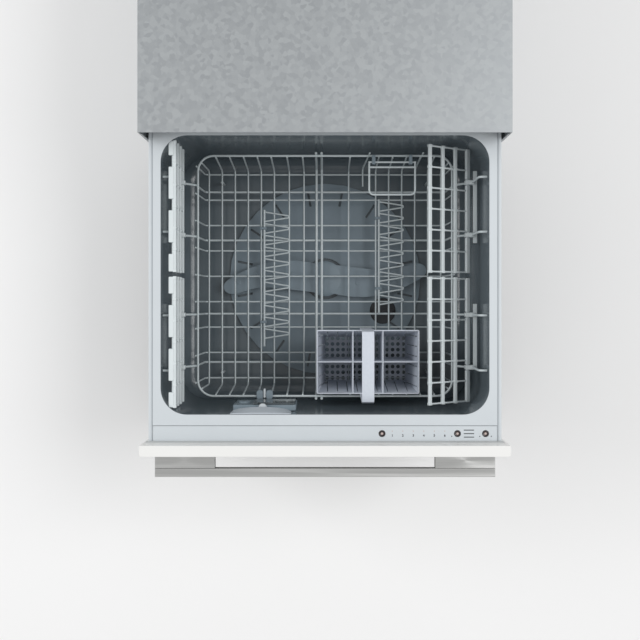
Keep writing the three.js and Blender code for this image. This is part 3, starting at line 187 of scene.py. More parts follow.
def ease(obj, width, segments=2, angle=35):
    """Rounds the edges of a moulding or a pressing."""
    return modify(obj, "BEVEL", width=width, segments=segments, limit_method="ANGLE",
                  angle_limit=radians(angle))


def taken_from(node, width, segments):
    """A clean copy of a CAD node with its sharp edges rounded."""
    obj = bpy.data.objects.new(node + "_shown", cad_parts[node].data.copy())
    bpy.context.scene.collection.objects.link(obj)
    only(obj)
    bpy.ops.object.mode_set(mode="EDIT")
    bpy.ops.mesh.select_all(action="SELECT")
    bpy.ops.mesh.remove_doubles(threshold=0.00002)
    bpy.ops.mesh.dissolve_limited(angle_limit=radians(1))
    bpy.ops.object.mode_set(mode="OBJECT")
    return ease(obj, width, segments)


def hand_over(obj, name, material, body, nodes=(), smooth=35):
    """Names a finished piece, smooths it and sets it on its body in place of its nodes."""
    only(obj)
    obj.name = name
    obj.data.materials.clear()
    obj.data.materials.append(material)
    bpy.ops.object.shade_smooth_by_angle(angle=radians(smooth))
    modify(obj, "WEIGHTED_NORMAL", keep_sharp=True)
    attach(obj, body)
    if nodes:
        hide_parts(*nodes)
    return obj


def refine(node, name, width, material, body, segments=2):
    """Hands over a copy of a CAD node with softened edges, in the node's place."""
    return hand_over(taken_from(node, width, segments), name, material, body, [node])


refine("lid", "lid_moulding", 0.0012, moulded_pale, "lid")
for side in ("left", "right"):
    refine(f"lid_actuator_{side}", f"lid_drive_{side}", 0.0015, moulded_dark, "chassis")

rubber, tree, shader = new_finish("Grey silicone rubber", 0.75)
tint(tree, shader, noise(tree, 90, 4), "#43464A", "#54585B")
dress(["lid_seal"], rubber)

# ---- Tub -----------------------------------------------------------------------------------------
# A deep injection-moulded polypropylene tub, dark grey and glossy inside, with large rounded
# corners. A pale collar runs round its rim.

WALL = 0.003
OPENING = (0.545, 0.463)
CORNER = 0.044
FLOOR_CORNER = 0.024
DRAFT = 0.001
RIM_FRONT = 0.018
RIM_SKIRT = 0.014
RIM_CORNER = 0.0012
COLLAR_GAP = 0.0005
SUMP_MOUTH = 0.03

tub_low, tub_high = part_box("tub")
rim_top = tub_high.z
tub_floor = tub_low.z + WALL
opening_front = tub_low.y + RIM_FRONT
middle = opening_front + OPENING[1] / 2


def block(low, high):
    """A squared-off piece between two corners."""
    start()
    low, high = Vector(low), Vector(high)
    bpy.ops.mesh.primitive_cube_add(size=1, location=(low + high) / 2)
    bpy.context.object.scale = high - low
    return settle(bpy.context.object)


def pick(obj, edges=None, faces=None):
    """Selects a piece's edges or faces by a rule, ready for an edit."""
    only(obj)
    bpy.ops.object.mode_set(mode="EDIT")
    bpy.ops.mesh.select_mode(type="EDGE" if edges else "FACE")
    bpy.ops.mesh.select_all(action="DESELECT")
    bpy.ops.object.mode_set(mode="OBJECT")
    if edges:
        for edge in obj.data.edges:
            a, b = (obj.data.vertices[i].co for i in edge.vertices)
            edge.select = edges(a, b)
    if faces:
        for face in obj.data.polygons:
            face.select = faces(face.center, face.normal)
    bpy.ops.object.mode_set(mode="EDIT")
    return obj


def upright(a, b):
    return abs(a.z - b.z) > 0.9 * (a - b).length


def rounded_box(low, high, corner, segments):
    """A block with its four upright edges rounded."""
    obj = pick(block(low, high), edges=upright)
    bpy.ops.mesh.bevel(offset=corner, segments=segments, affect="EDGES")
    bpy.ops.object.mode_set(mode="OBJECT")
    return obj


def merge(objects):
    """Welds several finished shapes into one piece."""
    start()
    for obj in objects:
        obj.select_set(True)
    bpy.context.view_layer.objects.active = objects[0]
    bpy.ops.object.join()
    return bpy.context.object


def cut_away(obj, *cutters):
    for cutter in cutters:
        modify(obj, "BOOLEAN", operation="DIFFERENCE", object=cutter, solver="EXACT")
        bpy.data.objects.remove(cutter)
    return obj


def round_bar(start_point, end_point, radius, sides=32):
    """A round bar between two points."""
    start()
    a, b = Vector(start_point), Vector(end_point)
    turn = (b - a).to_track_quat("Z", "Y").to_euler()
    bpy.ops.mesh.primitive_cylinder_add(vertices=sides, radius=radius, depth=(b - a).length,
                                        location=(a + b) / 2, rotation=turn)
    return settle(bpy.context.object)


half_x, half_y = OPENING[0] / 2, OPENING[1] / 2
liner = rounded_box((-half_x, middle - half_y, tub_floor), (half_x, middle + half_y, rim_top - COLLAR_GAP),
                    CORNER, 14)
pick(liner, faces=lambda centre, normal: normal.z > 0.9)
bpy.ops.mesh.delete(type="FACE")
pick(liner, faces=lambda centre, normal: normal.z < -0.9)
draft = 1 - DRAFT / half_y
bpy.ops.transform.resize(value=(draft, draft, 1), center_override=(0, middle, tub_floor))
bpy.ops.mesh.region_to_loop()
bpy.ops.mesh.bevel(offset=FLOOR_CORNER, segments=8, affect="EDGES")
bpy.ops.object.mode_set(mode="OBJECT")
modify(liner, "SOLIDIFY", thickness=WALL, offset=1)
sump_mouth = round_bar((0, middle, tub_floor - 0.02), (0, middle, tub_floor + 0.02), SUMP_MOUTH)
cut_away(liner, sump_mouth)

collar = merge([
    rounded_box((tub_low.x, tub_low.y, rim_top - RIM_SKIRT), (tub_high.x, tub_high.y, rim_top),
                RIM_CORNER, 14),
    rounded_box((-half_x, middle - half_y, rim_top), (half_x, middle + half_y, rim_top + 0.01), CORNER, 14),
])
pick(collar, faces=lambda centre, normal: abs(normal.z) > 0.9)
bpy.ops.mesh.delete(type="FACE")
pick(collar, edges=lambda a, b: max(abs(a.z - rim_top), abs(b.z - rim_top)) < 0.0001)
bpy.ops.mesh.bridge_edge_loops()
pick(collar, faces=lambda centre, normal: centre.z > rim_top + 0.001)
bpy.ops.mesh.delete(type="FACE")
bpy.ops.mesh.select_all(action="SELECT")
bpy.ops.mesh.normals_make_consistent(inside=False)
bpy.ops.object.mode_set(mode="OBJECT")
modify(collar, "SOLIDIFY", thickness=WALL, offset=-1, use_even_offset=True)
ease(collar, 0.0006, 3, 50)

liner_plastic, tree, shader = new_finish("Moulded dark polypropylene, polished mould", 0.2,
                                         Specular_IOR_Level=0.5)
mottle = noise(tree, 8, 3)
tint(tree, shader, mottle, "#5F696F", "#667076")
vary_gloss(tree, shader, mottle, 0.13, 0.2)
hand_over(liner, "tub_liner", liner_plastic, "drawer", ["tub"])

satin_pale, tree, shader = new_finish("Satin pale grey polypropylene", 0.36)
tint(tree, shader, noise(tree, 14, 2), "#C5CBCF", "#CAD0D4")
emboss(tree, shader, noise(tree, 1 / 0.0018, 1), 0.06, 0.0002)
hand_over(collar, "tub_collar", satin_pale, "drawer", ["tub"])

# ---- Side trims ----------------------------------------------------------------------------------
# Narrow polypropylene cover strips clipped along both sides of the collar, with a groove between.

for side in ("left", "right"):
    refine(f"side_trim_{side}", f"cover_strip_{side}", 0.0006, satin_pale, "drawer")

# ---- Control fascia, its board and buttons -------------------------------------------------------
# A shallow polypropylene tray across the front, behind the panel, with a printed circuit board
# under it. Three glossy push buttons stand just proud of its top, each with a small light pipe.

FASCIA_MARKS = 6
DIGIT_HEIGHT = 0.0054
DIGIT_DROP = 0.0022
LAMP_RISE = 0.0042
LAMP_SIDES = 16
DOT_RADIUS = 0.0009
DOT_PLACE = (0.0095, 0.0045)
INK = 0.0001
BAR_LENGTH = 0.017
BAR_WIDTH = 0.0015
BAR_PITCH = 0.0058
BAR_START = 0.0105

refine("control_fascia", "fascia_tray", 0.0005, satin_pale, "drawer")

board, tree, shader = new_finish("Green solder-masked board", 0.4)
place = add_node(tree, "ShaderNodeTexCoord").outputs["Object"]
tracks = add_node(tree, "ShaderNodeTexBrick", {"Vector": place, "Scale": 260, "Color1": srgb("#2C6B45"),
                                               "Color2": srgb("#2F7049"), "Mortar": srgb("#1F5636")})
tree.links.new(tracks.outputs["Color"], shader.inputs["Base Color"])
dress(["control_board"], board)

gloss_black, tree, shader = new_finish("Gloss black ABS", 0.18)
tint(tree, shader, noise(tree, 200, 2), "#2E2828", "#3A3333")

light_pipe, tree, shader = new_finish("Milky light pipe", 0.3)
tint(tree, shader, noise(tree, 900, 1), "#B09C96", "#CABAB4")

printed, tree, shader = new_finish("Pad-printed dark grey ink", 0.5)
tint(tree, shader, noise(tree, 1500, 1), "#33363A", "#3F4347")


def turned(profile, centre, sides=40):
    """A round piece: a profile of radius and height swept once about an upright axis."""
    start()
    bpy.ops.mesh.primitive_circle_add(vertices=sides, radius=profile[0][0], fill_type="NOTHING",
                                      location=(centre[0], centre[1], profile[0][1]))
    obj = settle(bpy.context.object)
    bpy.ops.object.mode_set(mode="EDIT")
    bpy.ops.mesh.select_mode(type="EDGE")
    bpy.ops.mesh.select_all(action="SELECT")
    for (r0, z0), (r1, z1) in zip(profile, profile[1:]):
        bpy.ops.mesh.extrude_region_move(TRANSFORM_OT_translate={"value": (0, 0, z1 - z0)})
        bpy.ops.transform.resize(value=(r1 / r0, r1 / r0, 1), center_override=(centre[0], centre[1], z1))
    bpy.ops.mesh.select_all(action="SELECT")
    bpy.ops.mesh.fill_holes(sides=0)
    bpy.ops.mesh.normals_make_consistent(inside=False)
    bpy.ops.object.mode_set(mode="OBJECT")
    return obj


for number in (1, 2, 3):
    node = f"button_{number}"
    low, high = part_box(node)
    x, y = (low.x + high.x) / 2, (low.y + high.y) / 2
    top = high.z
    flange = [(0.007, top - 0.0055), (0.007, top - 0.0037), (0.0054, top - 0.0037)]
    crown = [(0.0054, top - 0.0006), (0.0050, top - 0.0001), (0.0044, top)]
    dish = [(0.0034, top - 0.0003), (0.0021, top - 0.0006)]
    cap = turned(flange + crown + dish, (x, y))
    hand_over(cap, f"push_button_{number}", gloss_black, node, [node])
    pipe = turned([(0.0020, top - 0.0030), (0.0020, top - 0.0005), (0.0016, top - 0.0003)], (x, y), 24)
    hand_over(pipe, f"button_light_{number}", light_pipe, node)

marks = []
button_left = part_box("button_1")
button_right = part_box("button_2")
first = button_left[1].x + 0.010
last = button_right[0].x - 0.014
row = (button_left[0].y + button_left[1].y) / 2
for number in range(1, FASCIA_MARKS + 1):
    x = first + (last - first) * (number - 1) / (FASCIA_MARKS - 1)
    start()
    bpy.ops.object.text_add(location=(x, row - DIGIT_HEIGHT / 2 - DIGIT_DROP, rim_top))
    digit = bpy.context.object
    digit.data.body = str(number)
    digit.data.size = DIGIT_HEIGHT
    digit.data.align_x = "CENTER"
    digit.data.extrude = INK / 2
    digit.data.offset = 0.0002
    bpy.ops.object.convert(target="MESH")
    marks.append(settle(bpy.context.object))
    bpy.ops.object.mode_set(mode="EDIT")
    bpy.ops.mesh.select_all(action="SELECT")
    bpy.ops.mesh.remove_doubles(threshold=0.000001)
    bpy.ops.object.mode_set(mode="OBJECT")
    lamp_profile = [(DOT_RADIUS, rim_top - 0.0003), (DOT_RADIUS, rim_top + INK), (0.0007, rim_top + 0.0002)]
    lamp = turned(lamp_profile, (x, row + LAMP_RISE), LAMP_SIDES)
    hand_over(lamp, f"indicator_{number}", light_pipe, "drawer")

# Beside the second button stand three short printed bars, and small dots mark it and the third.
button_x = (button_right[0].x + button_right[1].x) / 2
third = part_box("button_3")
third_x = (third[0].x + third[1].x) / 2
for i in (-1, 0, 1):
    x, y = button_x + BAR_START, row + i * BAR_PITCH
    marks.append(block((x, y - BAR_WIDTH / 2, rim_top), (x + BAR_LENGTH, y + BAR_WIDTH / 2, rim_top + INK)))
aside, below = DOT_PLACE
for x in (button_x - aside, third_x - aside, third_x + aside):
    marks.append(turned([(DOT_RADIUS, rim_top - INK), (DOT_RADIUS, rim_top + INK)], (x, row - below), 12))
hand_over(merge(marks), "programme_numbers", printed, "drawer")

# ---- Front panel ---------------------------------------------------------------------------------
# An 18 mm MDF board sprayed white all round and hung on the steel front frame, as the kitchen's
# own doors are. The sprayed lacquer is satin and very slightly uneven.

panel_lacquer, tree, shader = new_finish("White satin lacquer on MDF", 0.32, Coat_Weight=0.15)
tint(tree, shader, noise(tree, 5, 2), "#E4E4E2", "#E7E7E5")
emboss(tree, shader, noise(tree, 1 / 0.003, 1), 0.04, 0.0002)
refine("front_panel", "panel_board", 0.0006, panel_lacquer, "drawer")

# A grey strip covers the panel's back just above the fascia; its grey tone is painted shade for the dark
# band there.
STRIP_HEIGHT = 0.021
STRIP_INSET = 0.004
STRIP_SHEET = 0.0012
shade_strip_paint, tree, shader = new_finish("Grey strip, painted shade", 0.5)
mottle = noise(tree, 1 / 0.002, 2)
tint(tree, shader, mottle, "#BCBEBE", "#C2C4C4")
emboss(tree, shader, mottle, 0.1, 0.0002)
panel_low, panel_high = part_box("front_panel")
strip = block((panel_low.x + STRIP_INSET, panel_high.y - 0.0005, rim_top + 0.0005),
              (panel_high.x - STRIP_INSET, panel_high.y + STRIP_SHEET, rim_top + STRIP_HEIGHT))
hand_over(ease(strip, 0.0004), "panel_shade_strip", shade_strip_paint, "drawer")

# ---- Handle --------------------------------------------------------------------------------------
# A flat stainless steel bar in front of two solid shoulders, bolted through the panel. It is
# brushed lengthways, so its fine lines run along X and spread the highlights across them.

brushed, tree, shader = new_finish("Brushed stainless steel bar", 0.33, 1.0, Anisotropic=0.6)
lines = noise(tree, 1, 4, (9, 1 / 0.0006, 1 / 0.0006))
tint(tree, shader, lines, "#B6B7B6", "#D6D6D4")
vary_gloss(tree, shader, lines, 0.25, 0.42)
emboss(tree, shader, lines, 0.2, 0.0001)

# The bar's rear face and the shoulders' inner ends get a dark grey steel: painted shade for the shadowed
# faces there.
painted_shade_steel, tree, shader = new_finish("Dark steel, painted shade on inner faces", 0.55, 0.9)
tint(tree, shader, noise(tree, 150, 3), "#4F4F4F", "#5C5C5B")
handle_parts = [  # node, piece, and the side that is given painted shade
    ("handle_bar", "grip_bar", Vector((0, 1, 0))),
    ("handle_shoulder_left", "shoulder_left", Vector((1, 0, 0))),
    ("handle_shoulder_right", "shoulder_right", Vector((-1, 0, 0))),
]
for node, name, shaded_side in handle_parts:
    part = refine(node, name, 0.0005, brushed, "drawer")
    part.data.materials.append(painted_shade_steel)
    for face in part.data.polygons:
        if face.normal.dot(shaded_side) > 0.9:
            face.material_index = 1

# ---- Sump, pumps and shaft -----------------------------------------------------------------------
# Under the tub floor: a moulded sump bowl, the wash motor and its impeller, and a drain pump.
# The post that the spray arm turns on has the sump's finish.

moulded_mid, tree, shader = new_finish("Moulded blue-grey polypropylene", 0.4)
tint(tree, shader, noise(tree, 30, 3), "#76848C", "#82909A")
emboss(tree, shader, noise(tree, 1 / 0.0015, 1), 0.1, 0.0003)
dress(["sump", "arm_post"], moulded_mid)
dress(["wash_motor", "drain_pump", "impeller"], moulded_dark)

# ---- Heater plate and filters --------------------------------------------------------------------
# A ring of stainless steel heats the water on the tub floor. A shallow slotted filter plate lies
# over it, with a drain filter in it that turns by its grip.

steel_plate, tree, shader = new_finish("Cold-rolled stainless steel", 0.3, 1.0)
haze = noise(tree, 40, 4)
tint(tree, shader, haze, "#A9AAAA", "#BDBEBD")
vary_gloss(tree, shader, haze, 0.24, 0.38)
dress(["heater_plate"], steel_plate)
refine("filter_plate", "filter_dish", 0.0004, moulded_mid, "drawer", 1)
refine("drain_filter", "drain_filter_cup", 0.0006, moulded_dark, "drain_filter")

# ---- Spray arm -----------------------------------------------------------------------------------
# A polypropylene arm of two swept blades round a hub that turns on the post, with jets on top.

refine("spray_arm", "spray_blades", 0.0018, moulded_mid, "spray_arm", 3)

# ---- Detergent dispenser -------------------------------------------------------------------------
# A moulded box clipped to the front wall under a rounded brow. Its smoke-clear lid is hinged at
# the bottom and held by a half-round sliding latch; the rinse aid cap turns beside it.

BROW = (-0.158, -0.0565)
BROW_HEIGHTS = (0.3245, 0.3485)
BROW_REACH = 0.0092
BROW_TOP_SHARE = 0.15
BROW_ROUNDING = 0.002

brow_plastic, tree, shader = new_finish("Moulded blue-grey polypropylene, satin", 0.3)
tint(tree, shader, noise(tree, 18, 2), "#B2BAC1", "#BCC3CA")
refine("dispenser_body", "dispenser_box", 0.0012, moulded_mid, "drawer", 3)
wall_y = opening_front + 0.0004
brow = block((BROW[0], wall_y, BROW_HEIGHTS[0]), (BROW[1], wall_y + 0.001, BROW_HEIGHTS[1]))
pick(brow, edges=lambda a, b: abs(a.x - b.x) > 0.05)
bpy.ops.mesh.subdivide(number_cuts=23)
bpy.ops.object.mode_set(mode="OBJECT")
brow_middle, brow_half = (BROW[0] + BROW[1]) / 2, (BROW[1] - BROW[0]) / 2
for vertex in brow.data.vertices:
    if vertex.co.y > wall_y + 0.0005:
        across = min(1, abs(vertex.co.x - brow_middle) / brow_half)
        reach = BROW_REACH * sqrt(1 - across ** 2)
        vertex.co.y += reach if vertex.co.z < BROW_HEIGHTS[0] + 0.001 else BROW_TOP_SHARE * reach
pick(brow, edges=lambda a, b: min(a.y, b.y) > wall_y + 0.0005 and max(a.z, b.z) < BROW_HEIGHTS[0] + 0.001)
bpy.ops.mesh.bevel(offset=BROW_ROUNDING, segments=4, affect="EDGES")
bpy.ops.object.mode_set(mode="OBJECT")
hand_over(brow, "dispenser_brow", brow_plastic, "drawer")
refine("dispenser_latch", "latch_slider", 0.0008, satin_pale, "dispenser_latch", 3)
refine("rinse_cap", "rinse_aid_cap", 0.0008, moulded_mid, "rinse_cap", 3)

smoke_clear, tree, shader = new_finish("Smoke-clear polycarbonate", 0.12, Transmission_Weight=0.55,
                                       IOR=1.58)
tint(tree, shader, noise(tree, 50, 2), "#5C666C", "#6A757B")
refine("dispenser_lid", "dose_lid", 0.0012, smoke_clear, "dispenser_lid", 3)

# ---- Wire basket ---------------------------------------------------------------------------------
# Mild steel wire, cut and bent cold, spot welded where it crosses and dipped in grey nylon,
# which leaves the surface slightly uneven.

RAIL = (0.228, 0.2155)
RAIL_HEIGHT = 0.220
RAIL_WIRE = 0.004
RAIL_CORNER = 0.028
WIRE_BEND = 0.008
THIN_WIRE = 0.003
STOUT_WIRE = 0.0045
HANGER_WIRE = 0.0039
BASKET_FLOOR = 0.114
FLOOR_HALF = (0.2205, 0.203)
FLOOR_PITCH = 0.0248
CROSS_PITCH = 0.0484
CROSS_FIRST = 0.1978
HANGERS = (0.1646, 0.0727, -0.0671, -0.1593)
HANGER_TIP = (0.2708, 0.338)
HANGER_UPRIGHT = (0.258, 0.262)
HANGER_BEND = 0.007
INNER_WIRES = (-0.068, -0.040, 0.045)
STOUT_WIRES = (-0.016, 0.010)
POSTS = ((0.080, 0.0717), (0.175, 0.1709))
FOOT_WIRE = 0.005
FOOT_SETBACK = 0.022
WIRE_END_RISE = 0.006

basket_middle = middle + 0.002


def draw_wire(points, diameter, bend, sides=10, steps=4):
    """Draws a wire out along straight runs and bends it at each corner."""
    points = [Vector(p) for p in points]
    way = (points[1] - points[0]).normalized()
    start()
    bpy.ops.mesh.primitive_circle_add(vertices=sides, radius=diameter / 2, fill_type="NGON",
                                      location=points[0], rotation=way.to_track_quat("Z", "Y").to_euler())
    obj = settle(bpy.context.object)
    bpy.ops.object.mode_set(mode="EDIT")
    bpy.ops.mesh.select_all(action="SELECT")
    here = points[0]
    for i in range(1, len(points)):
        corner = points[i]
        way = (corner - here).normalized()
        back = 0
        if i < len(points) - 1:
            out = (points[i + 1] - corner).normalized()
            turn = way.angle(out)
            back = bend * tan(turn / 2)
        run = way * ((corner - here).length - back)
        bpy.ops.mesh.extrude_region_move(TRANSFORM_OT_translate={"value": run})
        here = corner
        if back:
            axis = way.cross(out).normalized()
            centre = corner - way * back + axis.cross(way) * bend
            bpy.ops.mesh.spin(steps=steps, angle=-turn, center=centre, axis=axis)
            here = corner + out * back
    bpy.ops.mesh.select_all(action="SELECT")
    bpy.ops.mesh.remove_doubles(threshold=0.000001)
    bpy.ops.mesh.normals_make_consistent(inside=False)
    bpy.ops.object.mode_set(mode="OBJECT")
    return obj


def copies(obj, offsets):
    """The piece itself and a copy at each further place, each with its own mesh."""
    made = [obj]
    for offset in offsets:
        twin = obj.copy()
        twin.data = obj.data.copy()
        bpy.context.scene.collection.objects.link(twin)
        twin.location = offset
        made.append(settle(twin))
    return made


def laid_out(obj, places):
    """A copy of the piece at each place, without the piece itself."""
    made = copies(obj, places)
    bpy.data.objects.remove(made.pop(0))
    return made


rail_x, rail_y = RAIL
floor_x, floor_y = FLOOR_HALF
lap = 0.0005
seam = 0.0001
rail_front, rail_back = basket_middle - rail_y, basket_middle + rail_y
rail_round = [(0, rail_front), (rail_x, rail_front), (rail_x, rail_back), (-rail_x, rail_back),
              (-rail_x, rail_front), (-seam, rail_front)]
wires = [draw_wire([(x, y, RAIL_HEIGHT) for x, y in rail_round], RAIL_WIRE, RAIL_CORNER, 12, 8)]
leg_inset = (RAIL_WIRE + THIN_WIRE) / 2 - lap


def floor_wire(x, top_y, diameter, spread=0.0, rise=0.001):
    """A wire along the basket floor that turns up to the rail at both ends."""
    ends = [(x, top_y, RAIL_HEIGHT + rise), (x, floor_y + spread, BASKET_FLOOR)]
    return draw_wire([(x, basket_middle - y, z) for x, y, z in ends]
                     + [(x, basket_middle + y, z) for x, y, z in ends[::-1]], diameter, WIRE_BEND)


past = floor_x - (rail_x - RAIL_CORNER)
corner_top = rail_y - RAIL_CORNER + sqrt((RAIL_CORNER - leg_inset) ** 2 - past ** 2)
wires += copies(floor_wire(-floor_x, corner_top, THIN_WIRE), [(2 * floor_x, 0, 0)])
leg = floor_wire(FLOOR_PITCH - floor_x, rail_y - leg_inset, THIN_WIRE)
places = [i * FLOOR_PITCH for i in range(1, 5)] + [floor_x + x - FLOOR_PITCH for x in INNER_WIRES]
places += [2 * floor_x - i * FLOOR_PITCH for i in range(2, 7)]
wires += copies(leg, [(x, 0, 0) for x in places])
stout_top = rail_y + (RAIL_WIRE + STOUT_WIRE) / 2 - lap
first_x, apart = STOUT_WIRES
wires += copies(floor_wire(first_x, stout_top, STOUT_WIRE, 0.004, WIRE_END_RISE), [(apart, 0, 0)])
cross_z = BASKET_FLOOR - THIN_WIRE + lap
y = middle + CROSS_FIRST
cross_x = rail_x + (RAIL_WIRE + THIN_WIRE) / 2 - lap


def cross_wire(y, top_x):
    """A wire across under the floor that turns up outside the rail at both sides."""
    side = [(top_x, y, RAIL_HEIGHT + WIRE_END_RISE), (floor_x + 0.0075, y, cross_z)]
    return draw_wire([(-x, y, z) for x, y, z in side] + side[::-1], THIN_WIRE, WIRE_BEND)


wires += copies(cross_wire(y - CROSS_PITCH, cross_x), [(0, -i * CROSS_PITCH, 0) for i in range(1, 7)])
for y in (middle + CROSS_FIRST, middle + CROSS_FIRST - 8 * CROSS_PITCH):
    past = abs(y - basket_middle) - (rail_y - RAIL_CORNER)
    wires.append(cross_wire(y, cross_x - RAIL_CORNER + sqrt(RAIL_CORNER ** 2 - past ** 2)))
post_y = basket_middle + rail_y + (RAIL_WIRE + THIN_WIRE) / 2 - lap
for x, foot_x in POSTS:
    wires.append(draw_wire([(foot_x, basket_middle + floor_y - 0.03, BASKET_FLOOR + 0.002),
                            (foot_x, basket_middle + floor_y + 0.004, BASKET_FLOOR + 0.002),
                            (x, post_y, RAIL_HEIGHT + 0.014)], THIN_WIRE, WIRE_BEND))
hanger_z = BASKET_FLOOR - (THIN_WIRE + HANGER_WIRE) / 2 + lap
hanger_x = rail_x + (RAIL_WIRE + HANGER_WIRE) / 2 - lap
y = middle + HANGERS[0]
tip_x, tip_z = HANGER_TIP
upright_x, upright_foot = HANGER_UPRIGHT
side_points = [(tip_x, y, tip_z), (upright_x, y, tip_z), (upright_x, y, upright_foot),
               (hanger_x, y, RAIL_HEIGHT + 0.002), (floor_x + 0.008, y, hanger_z)]
hanger = draw_wire([(-x, y, z) for x, y, z in side_points] + side_points[::-1], HANGER_WIRE, HANGER_BEND)
wires += copies(hanger, [(0, place - HANGERS[0], 0) for place in HANGERS[1:]])
for sx in (-1, 1):
    for sy in (-1, 1):
        x, y = sx * (floor_x - FLOOR_PITCH), basket_middle + sy * (floor_y - FOOT_SETBACK)
        foot = [(x, y, z) for z in (tub_floor + 0.0003, 0.1, BASKET_FLOOR + 0.001)]
        wires.append(draw_wire(foot, FOOT_WIRE, 0))

nylon, tree, shader = new_finish("Grey nylon dip on steel wire", 0.38)
mottle = noise(tree, 120, 2)
tint(tree, shader, mottle, "#BAC3C6", "#C8D0D2")
emboss(tree, shader, mottle, 0.25, 0.0004)

RACK_HINGE = (0.250, 0.258)
RACK_LUG_X = (0.245, 0.262)
RACK_LUG_Z = (0.251, 0.266)
RACK_STOPS = ((0.0585, 0.185), (-0.161, -0.048))
RACK_STOP_X = (0.2600, 0.2668)
RACK_STOP_Z = (0.2540, 0.2595)
SHELF_LUGS = (0.087, 0.153)
TINE_ROD = 0.004
tine_z = BASKET_FLOOR + THIN_WIRE / 2 + TINE_ROD / 2 + 0.0003
TINE_PITCH = 0.0222
tine_rows = {
    "tine_row_left": (-(floor_x - 4 * FLOOR_PITCH) + 0.006, middle - 0.127, 11),
    "tine_row_right": ((floor_x - 5 * FLOOR_PITCH) + 0.006, middle - 0.063, 9),
}
floor_lugs, side_clips = [], []
for x, start_y, count in tine_rows.values():
    for along_row in (2, count - 1):
        y = start_y + along_row * TINE_PITCH
        lug = block((x - 0.008, y - 0.0025, BASKET_FLOOR - 0.001), (x + 0.0045, y + 0.0025, tine_z + 0.0045))
        ease(lug, 0.001, 2)
        bore = round_bar((x, y - 0.01, tine_z), (x, y + 0.01, tine_z), 0.0023, 16)
        floor_lugs.append(cut_away(lug, bore))
for place in HANGERS:
    for sx in (-1, 1):
        x0, x1 = sorted(sx * x for x in RACK_LUG_X)
        y = middle + place
        lug = ease(block((x0, y - 0.004, RACK_LUG_Z[0]), (x1, y + 0.004, RACK_LUG_Z[1])), 0.0015, 3)
        x, z = sx * RACK_HINGE[0], RACK_HINGE[1]
        side_clips.append(cut_away(lug, round_bar((x, y - 0.02, z), (x, y + 0.02, z), 0.0031, 20)))
for y0, y1 in RACK_STOPS:
    for sx in (-1, 1):
        x0, x1 = sorted(sx * x for x in RACK_STOP_X)
        stop = block((x0, middle + y0, RACK_STOP_Z[0]), (x1, middle + y1, RACK_STOP_Z[1]))
        side_clips.append(ease(stop, 0.001, 3))
shelf_y = basket_middle + rail_y - 0.0125
shelf_z = RAIL_HEIGHT + 0.008
for x in SHELF_LUGS:
    lug = block((x - 0.003, shelf_y - 0.004, RAIL_HEIGHT - 0.001), (x + 0.003, rail_back, shelf_z + 0.004))
    ease(lug, 0.001, 2)
    bore = round_bar((x - 0.01, shelf_y, shelf_z), (x + 0.01, shelf_y, shelf_z), 0.00205, 16)
    floor_lugs.append(cut_away(lug, bore))
hand_over(merge(wires), "basket_wires", nylon, "basket",
          ["basket_floor", "basket_front", "basket_rear", "basket_left", "basket_right"])
hand_over(merge(floor_lugs), "basket_clips", moulded_mid, "basket")

# A two-lobed clip on the front rail, with a pale release tab between its lobes.
low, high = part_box("basket_clip")
clip_x = (low.x + high.x) / 2
bridge = block((clip_x - 0.003, low.y, low.z + 0.001), (clip_x + 0.003, high.y - 0.004, high.z - 0.004))
lobes = [ease(bridge, 0.0005)]
for sx in (-1, 1):
    x0, x1 = sorted((clip_x + sx * 0.0022, clip_x + sx * 0.0145))
    lobe = rounded_box((x0, low.y - 0.0025, low.z), (x1, high.y - 0.003, high.z - 0.001), 0.0048, 6)
    lobes.append(ease(lobe, 0.001, 2))
hand_over(merge(lobes), "rail_clip", moulded_mid, "basket", ["basket_clip"])
tab = rounded_box((clip_x - 0.0017, low.y + 0.0005, high.z - 0.005),
                  (clip_x + 0.0017, high.y, high.z + 0.0012), 0.0015, 4)
hand_over(ease(tab, 0.0004), "rail_clip_tab", satin_pale, "basket")

# ---- Folding tines and rear shelf ----------------------------------------------------------------
# Narrow V tines welded to a rod that turns in two lugs on the basket floor, and a bent wire shelf
# that turns on its own rod just inside the rear rail. Both are dipped as the basket is.

TINE_LENGTH = 0.046
TINE_WIRE = 0.003
TINE_BEND = 0.0017
TINE_TIP = 0.0018
SHELF = (0.079, 0.161, 0.058)
SHELF_WIRE = 0.0035
SHELF_BEND = 0.008
SHELF_BRACE = 0.009

for row, (x, start_y, count) in tine_rows.items():
    rod_end = start_y + (count + 0.5) * TINE_PITCH
    rod_y = (start_y - 0.002, (start_y + rod_end) / 2, rod_end + 0.002)
    parts = [draw_wire([(x, y, tine_z) for y in rod_y], TINE_ROD, 0, 12)]
    base = TINE_PITCH / 2 - 0.002
    y = start_y + TINE_PITCH
    vee = [(x, y - base), (x + TINE_LENGTH, y - TINE_TIP), (x + TINE_LENGTH, y + TINE_TIP), (x, y + base)]
    tine = draw_wire([(*corner, tine_z) for corner in vee], TINE_WIRE, TINE_BEND)
    parts += copies(tine, [(0, i * TINE_PITCH, 0) for i in range(1, count)])
    hand_over(merge(parts), row + "_wires", nylon, row, [row])

x0, x1, reach = SHELF
frame_wire = [(x0, shelf_y), (x0, shelf_y - reach), (x1, shelf_y - reach), (x1, shelf_y)]
rod_wire = [(x, shelf_y) for x in (x0 - 0.0017, 0.12, x1 + 0.0017)]
brace_wire = [(x, shelf_y - SHELF_BRACE) for x in (x0, 0.12, x1)]
shelf = [draw_wire([(*corner, shelf_z) for corner in wire], SHELF_WIRE, bend, 12)
         for wire, bend in ((frame_wire, SHELF_BEND), (rod_wire, 0), (brace_wire, 0))]
hand_over(merge(shelf), "shelf_wires", nylon, "rear_shelf", ["rear_shelf"])

# ---- Cup racks -----------------------------------------------------------------------------------
# Four moulded polypropylene grilles: flat bars joined by thin cross rods, each clipped on a hinge
# rod that the basket's lugs hold. The left pair has a broad toothed free edge and stands against
# the wall; the right pair is folded in.

